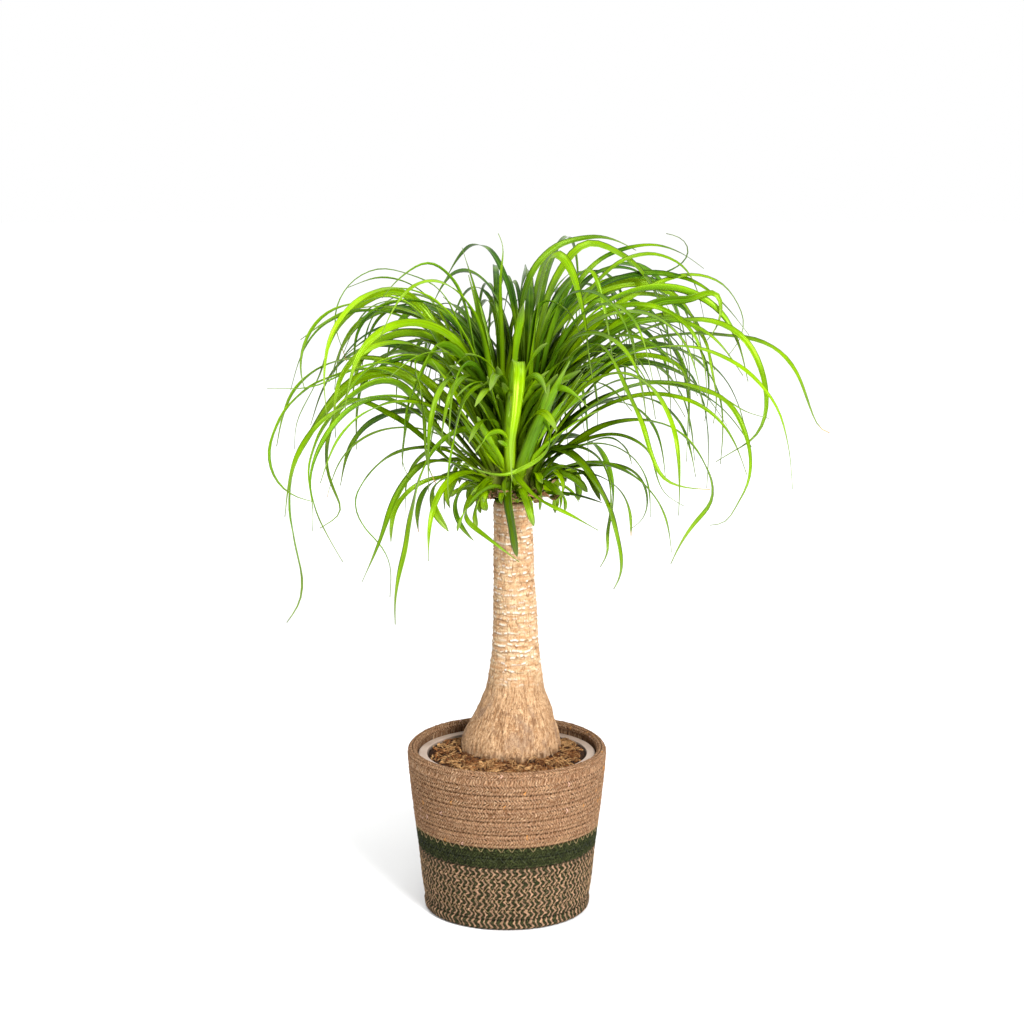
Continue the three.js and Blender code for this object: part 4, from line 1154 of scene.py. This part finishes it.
def curve_through(points, fractions):
    """Points and directions at fractions of the length of a smooth curve, and its length."""

    def at(places, along, rows):
        return np.stack([np.interp(places, along, rows[:, k]) for k in range(3)], -1)

    points = np.asarray(points, float)
    padded = np.vstack([2 * points[0] - points[1], points, 2 * points[-1] - points[-2]])
    dense = []
    t = np.linspace(0, 1, 12, endpoint=False)[:, None]
    for i in range(len(points) - 1):
        a, b, c, d = padded[i:i + 4]
        t0, t1, t2 = [max(1e-4, math.sqrt(np.linalg.norm(v))) for v in (b - a, c - b, d - c)]
        m1 = ((b - a) / t0 - (c - a) / (t0 + t1) + (c - b) / t1) * t1
        m2 = ((c - b) / t1 - (d - b) / (t1 + t2) + (d - c) / t2) * t1
        dense.append(b + m1 * t + (3 * c - 3 * b - 2 * m1 - m2) * t**2 + (2 * b - 2 * c + m1 + m2) * t**3)
    dense = np.vstack([*dense, points[-1:]])
    lengths = np.append(0, np.cumsum(np.linalg.norm(np.diff(dense, axis=0), axis=1)))
    length = lengths[-1]
    even = np.linspace(0, length, max(8, round(length / COURSE_STEP)))
    line = at(even, lengths, dense)
    for _ in range(COURSE_SMOOTHING):
        line[1:-1] = 0.25 * line[:-2] + 0.5 * line[1:-1] + 0.25 * line[2:]
    places = fractions * length
    return at(places, even, line), unit(at(places, even, np.gradient(line, axis=0))), length


def add_leaf(parts, course, width, twist, tone, tip=0.0, ruffle=RUFFLE, dry_from=None):
    """A closed strap blade, channelled at its base and flatter towards its thin tip."""
    along = np.linspace(0, 1, LEAF_STEPS + 1) ** 0.93
    centre, forward, length = curve_through(course, along)
    start, end = centre[0], centre[-1]
    level = np.array([start[1] - end[1], end[0] - start[0], 0.0])
    level /= max(1e-6, np.linalg.norm(level))
    side = []
    for ahead in forward:
        level = unit(level - (level @ ahead) * ahead)
        side.append(level)
    side = np.array(side)
    sway = SWAY * (twist != 0) * rng.uniform(0.4, 1)
    sway = sway * np.sin(TAU * (rng.uniform(0.5, 1.4) * along + rng.random()))
    turn = np.radians(twist * along + sway * np.minimum(1, 4 * along))[:, None]
    over = np.cross(forward, side)
    side, up = side * np.cos(turn) + over * np.sin(turn), over * np.cos(turn) - side * np.sin(turn)
    outline = LEAF_OUTLINE if length > SHORT_LEAF else SHORT_OUTLINE
    half = 0.5 * np.maximum(TIP_WIDTH, width * np.interp(along, *outline))
    slender = np.minimum(1, half / 3)
    channel = np.interp(along, *CHANNEL)
    thick = LEAF_THICKNESS * np.interp(along, [0, 0.1, 0.8, 1], [1.5, 1.1, 0.9, 0.7])
    phase = rng.random(2) * TAU
    waves = length / rng.uniform(34, 60)
    rows = []
    for c, below in [(c, 0) for c in UPPER] + [(c, 1) for c in UNDER]:
        wave = ruffle * np.sin(TAU * waves * along + (phase[0] if c > 0 else phase[1])) * abs(c)
        lift = half * channel * abs(c) ** 1.5 + wave * slender
        lift = lift - GROOVE * (c == 0) * slender - thick * below
        rows.append(centre + side * (half * c)[:, None] + up * lift[:, None])
    points = np.stack(rows, 1).reshape(-1, 3)
    rings = len(along)
    along = np.repeat(along, SECTION)
    parts.add(
        points, tube_faces(rings, SECTION), along=along, tone=tone, tip=tip,
        across=np.tile(UPPER + UNDER, rings),
        under=np.tile([0.0] * len(UPPER) + [1.0] * len(UNDER), rings),
        dry=0.0 if dry_from is None else smooth_step(dry_from, dry_from + 0.25, along),
        # inner: how much painted shade a point gets, more nearer the heart of the crown.
        inner=smooth_step(185, 60, np.linalg.norm(points - HEART, axis=1)),
    )


def arched_course(root, azimuths, rise, fall, stiffness, length, hook=(0, 0)):
    """A course that rises and falls over; its last part may hook up or down and to one side."""
    course = [np.array(root, float)]
    for k in range(ARCH_PARTS):
        t = (k + 0.5) / ARCH_PARTS
        end = smooth_step(0.55, 1, t)
        pitch = math.radians(rise - (rise + fall) * min(1, t / ARCH_END) ** stiffness + hook[0] * end)
        azimuth = math.radians(mix(*azimuths, t) + hook[1] * end)
        step = (math.cos(pitch) * math.cos(azimuth), math.cos(pitch) * math.sin(azimuth), math.sin(pitch))
        course.append(course[-1] + np.array(step) * length / ARCH_PARTS)
    return course


def drawn_course(root, tip_depth, drawn):
    """A course that looks as drawn from the eye's place and comes to a depth of its own."""
    course = [np.array(root, float)]
    for k, (across, height) in enumerate(drawn):
        t = (k + 1) / len(drawn)
        depth = mix(root[1], tip_depth, 1 - (1 - t) ** DEPTH_EASE)
        near = (depth - EYE[1]) / -EYE[1]
        course.append(np.array([mix(EYE[0], across, near), depth, mix(EYE[2], height, near)]))
    return course


def leaf_root(head, azimuth, height, turn):
    position = math.radians(azimuth + ROOT_SPREAD * turn)
    inside = mix(CORE_RADIUS, CORE_TOP_RADIUS, height / CORE_HEIGHT) - ROOT_DEPTH
    return np.append(head + inside * direction(position), TRUNK_TOP + height)


def direction(angle):
    return np.array([math.cos(angle), math.sin(angle)])


def add_core(parts, head):
    """The growing shoot that the leaves sit on, with lumps of their old bases."""
    angle = round_angles(CORE_COLUMNS)
    inward = 6.5 * unit(CROWN_CENTRE - head)
    rows, dry = [], []
    for t in np.linspace(0, 1, CORE_RINGS) ** 1.6:
        z = CORE_HEIGHT * t
        radius = mix(CORE_RADIUS, CORE_TOP_RADIUS, t**1.3) - 0.4
        under = (1 - min(1, z / 11)) ** 2
        lumps = noise(head[0] + 2.2 * np.cos(angle), head[1] + 2.2 * np.sin(angle), z / 5)
        ring = polar(radius * (1 - 0.55 * under) + 0.9 * lumps, angle, TRUNK_TOP + GAP + z)
        rows.append(ring + np.append(head + inward * under, 0))
        dry.append(smooth_step(16, 7, z + 5 * lumps))
    # The shoot sits deep in the crown and gets painted shade through inner.
    parts.add(np.vstack(rows), tube_faces(CORE_RINGS, CORE_COLUMNS), along=0.03, tone=0.3, tip=0.0,
              across=0.5, under=0.0, dry=np.concatenate(dry), inner=0.8)


def add_ruled_leaves(parts, name, head):
    """The leaves that follow the solids' rule, slimmer and less even."""
    azimuth, leaves, oldest, reach, seed = HEADS[name]
    draws = Draws(seed)
    for i in range(leaves):
        outward = oldest * (i + 0.5) / leaves
        turn = (i * GOLDEN % 1) * 2 - 1
        azimuths = [azimuth + HEAD_SECTOR * turn, azimuth + (HEAD_SECTOR + HEAD_FAN) * turn]
        rise = look_up(LEAF_RISE, outward) + draws.between(-RISE_SPREAD, RISE_SPREAD)
        fall = draws.between(*LEAF_FALL)
        stiffness = mix(*LEAF_STIFFNESS, outward) + draws.between(*STIFFNESS_SPREAD)
        length = reach * draws.between(*LENGTH_SPREAD) * look_up(LEAF_LENGTH, outward)
        width = draws.between(*LEAF_WIDTH) * look_up(LEAF_SLIMMING, outward)
        twist = draws.between(-LEAF_TWIST, LEAF_TWIST)
        if name == "head_front":
            fall, length = FRONT_FALL * fall, FRONT_LENGTH * length
        root = leaf_root(head, azimuth, mix(*ROOT_HEIGHTS, outward), turn)
        azimuths[1] += rng.uniform(-STRAYING, STRAYING)
        course = arched_course(root, azimuths, rise, fall, stiffness, length)
        tone = np.clip(HEAD_TONES[name] + rng.normal(0, 0.18), 0.02, 0.95)
        width *= rng.uniform(*RULED_SLIMMING)
        add_leaf(parts, course, width, 1.7 * twist, tone, float(rng.random() < BROWN_TIPS))


def add_drawn_leaves(parts, name, head):
    azimuth = HEADS[name][0]
    front = name == "head_front"
    for width, tip_depth, twist, drawn in DRAWN_LEAVES[name]:
        height = min(max(DRAWN_ROOT * (drawn[0][1] - TRUNK_TOP), ROOT_HEIGHTS[1]), ROOT_HEIGHTS[0])
        aim = math.degrees(math.atan2(tip_depth - head[1], drawn[-1][0] - head[0]))
        turn = (aim - azimuth + 180) % 360 - 180
        root = leaf_root(head, azimuth, height, min(max(turn / HEAD_SECTOR, -1), 1))
        tone = np.clip(min(HEAD_TONES[name], DRAWN_TONE) + rng.normal(0, 0.13), 0.4 * front, 0.85)
        brown = float(rng.random() < BROWN_TIPS)
        width *= 1 if front else DRAWN_SLIMMING
        add_leaf(parts, drawn_course(root, tip_depth, drawn), width, twist, tone, brown)


def add_fill(parts, name, head):
    """The leaves too fine or too many for the solids: long, young, short and curly ones."""
    azimuth, _leaves, _oldest, reach, _seed = HEADS[name]
    tone = HEAD_TONES[name]
    front = name == "head_front"
    taller = 1.45 if "back" in name else 1
    top = CORE_HEIGHT - 2

    def grow(height, turn, spread, straying, rise, fall, stiffness, length, width, light, curl=0.15,
             dry_from=None):
        root = leaf_root(head, azimuth, height, turn)
        bearings = [azimuth + spread * turn, azimuth + spread * turn + rng.uniform(-straying, straying)]
        hook = (curl * rng.uniform(-25, 40), curl * rng.uniform(-80, 80))
        course = arched_course(root, bearings, rise, fall, stiffness, length, hook)
        light = float(np.clip(tone + light + rng.normal(0, 0.15), 0.02, 1))
        twist = mix(0.4, 1, curl) * rng.uniform(-120, 120)
        add_leaf(parts, course, width, twist, light, dry_from=dry_from)

    for _ in range(YOUNG_LEAVES[name]):
        turn, outward = rng.uniform(-1, 1), rng.random() ** 1.2
        height = mix(top, 20, outward)
        if front:
            grow(height, turn, 66, 10, mix(86, 44, outward), rng.uniform(-60, -10), 1.5,
                 rng.uniform(90, 150), rng.uniform(6, 9.5), 0.1)
        else:
            grow(height, turn, 44, STRAYING, mix(86, 62, outward) + rng.uniform(-5, 5),
                 rng.uniform(40, 95), rng.uniform(1.2, 1.9), reach * rng.uniform(180, 300),
                 rng.uniform(4.5, 8), 0.0)
    for _ in range(HEART_LEAVES):
        turn, outward = rng.uniform(-1, 1), rng.random() ** 1.2
        grow(mix(top, 20, outward), turn, 46, STRAYING, mix(86, 70, outward), rng.uniform(-60, -10),
             rng.uniform(1.2, 1.9), taller * rng.uniform(70, 135), rng.uniform(5, 8), 0.2)
    for _ in range(LONG_LEAVES[name]):
        turn, outward = rng.uniform(-1, 1), rng.random()
        grow(mix(top, 40, outward), turn, 60, STRAYING, mix(88, 72, outward), rng.uniform(50, 98),
             rng.uniform(1.4, 2.1), reach * rng.uniform(240, 325), rng.uniform(4, 8), -0.12)
    for _ in range(FRONT_SKIRT_LEAVES if front else SKIRT_LEAVES):
        turn = rng.uniform(-1, 1)
        grow(rng.uniform(11, 28), turn, 62, 40, rng.uniform(5, 50), rng.uniform(20, 130),
             rng.uniform(0.9, 1.7), rng.uniform(30, 80), rng.uniform(4, 8), 0.72 - tone, curl=1.0)
    for _ in range(STUBS):
        turn = rng.uniform(-1.5, 1.5)
        grow(rng.uniform(1.5, 6), turn, 70, 20, rng.uniform(0, 55), rng.uniform(-50, 20), 1.3,
             rng.uniform(15, 27), rng.uniform(8, 13), 0.9 - tone, curl=0.0,
             dry_from=rng.uniform(0.3, 0.6))


def add_bracts(parts, azimuth, head):
    """Dry, papery remains of the oldest leaf bases at the foot of a head."""
    for _ in range(BRACTS):
        position = math.radians(azimuth + 100 * rng.uniform(-1, 1))
        root = np.append(head + 6.5 * direction(position), TRUNK_TOP + rng.uniform(2, 8))
        aims = [math.degrees(position), math.degrees(position) + rng.uniform(-20, 20)]
        course = arched_course(root, aims, rng.uniform(10, 75), rng.uniform(-40, 30), 1.3, rng.uniform(8, 18))
        add_leaf(parts, course, rng.uniform(5, 10), rng.uniform(-40, 40), 0.5, 1.0, ruffle=BRACT_RUFFLE)


def crown():
    material = leaf_material()
    bracts = Parts()
    for name, (azimuth, *_rule) in HEADS.items():
        head = CROWN_CENTRE + HEAD_RING * direction(math.radians(azimuth))
        parts = Parts()
        add_core(parts, head)
        add_ruled_leaves(parts, name, head)
        add_drawn_leaves(parts, name, head)
        add_fill(parts, name, head)
        parts.piece(name + "_leaves", "leaf", material, (name,))
        add_bracts(bracts, azimuth, head)
    bracts.piece("dry_bracts", "bark", bract_material())


# ---- Stage -----------------------------------------------------------------------------------

# Place, target, size in metres and power in watts.
LAMPS = {
    "key": ((0.95, -2.1, 1.45), (0, 0, 0.36), 0.8, 150),
    "top": ((-0.3, -0.5, 2.3), (0, 0, 0.4), 1.2, 44),
    "side": ((-1.7, -0.9, 1.0), (0, 0, 0.35), 1.0, 22),
    "low": ((1.6, -1.2, 0.2), (0, 0, 0.04), 0.6, 33),
}
FLOOR_HALF = 8.0
FRAME_PIXELS = 1024  # side of the photograph
FOCAL_PIXELS = 2653  # the camera's focal length, in its pixels
SENSOR = 36
CAMERA_PITCH = 11  # degrees below level


def add_lamp(name, location, target, size, power):
    lamp = bpy.data.lights.new(name, "AREA")
    lamp.shape, lamp.size, lamp.energy = "DISK", size, power
    holder = bpy.data.objects.new(name, lamp)
    holder.location = location
    aim = [t - a for a, t in zip(location, target)]
    holder.rotation_euler = (math.atan2(math.hypot(aim[0], aim[1]), -aim[2]), 0, math.atan2(-aim[0], aim[1]))
    bpy.context.collection.objects.link(holder)


def stage():
    scene = bpy.context.scene
    scene.view_settings.view_transform = "Standard"
    world = bpy.data.worlds.new("studio")
    world.use_nodes = True
    background = world.node_tree.nodes["Background"]
    background.inputs["Color"].default_value = (1, 1, 1, 1)
    background.inputs["Strength"].default_value = 1.0
    scene.world = world

    mesh = bpy.data.meshes.new("floor")
    corners = [(x * FLOOR_HALF, y * FLOOR_HALF, 0) for x, y in ((-1, -1), (1, -1), (1, 1), (-1, 1))]
    mesh.from_pydata(corners, [], [(0, 1, 2, 3)])
    # Duller where the lamps reach it, so that the floor and the backdrop look one white.
    m = Material("floor_paint", 0.9, 0.0)
    away = m.node("VectorMath", {0: m.place()}, operation="LENGTH").outputs["Value"]
    colour = m.blend(m.remap(away, 0.8, 2.6, smooth=True), (0.6, 0.6, 0.6, 1), (1, 1, 1, 1))
    mesh.materials.append(m.finish(colour))
    floor = bpy.data.objects.new("floor", mesh)
    bpy.context.collection.objects.link(floor)

    for name, settings in LAMPS.items():
        add_lamp(name, *settings)

    lens = bpy.data.cameras.new("camera")
    lens.sensor_width = SENSOR
    lens.lens = SENSOR * FOCAL_PIXELS / FRAME_PIXELS
    camera = bpy.data.objects.new("camera", lens)
    camera.location = EYE * MM
    camera.rotation_euler = (math.radians(90 - CAMERA_PITCH), 0, 0)
    bpy.context.collection.objects.link(camera)
    scene.camera = camera


stage()
basket()
sewing()
nursery_pot()
soil()
trunk()
crown()

bpy.context.view_layer.update()
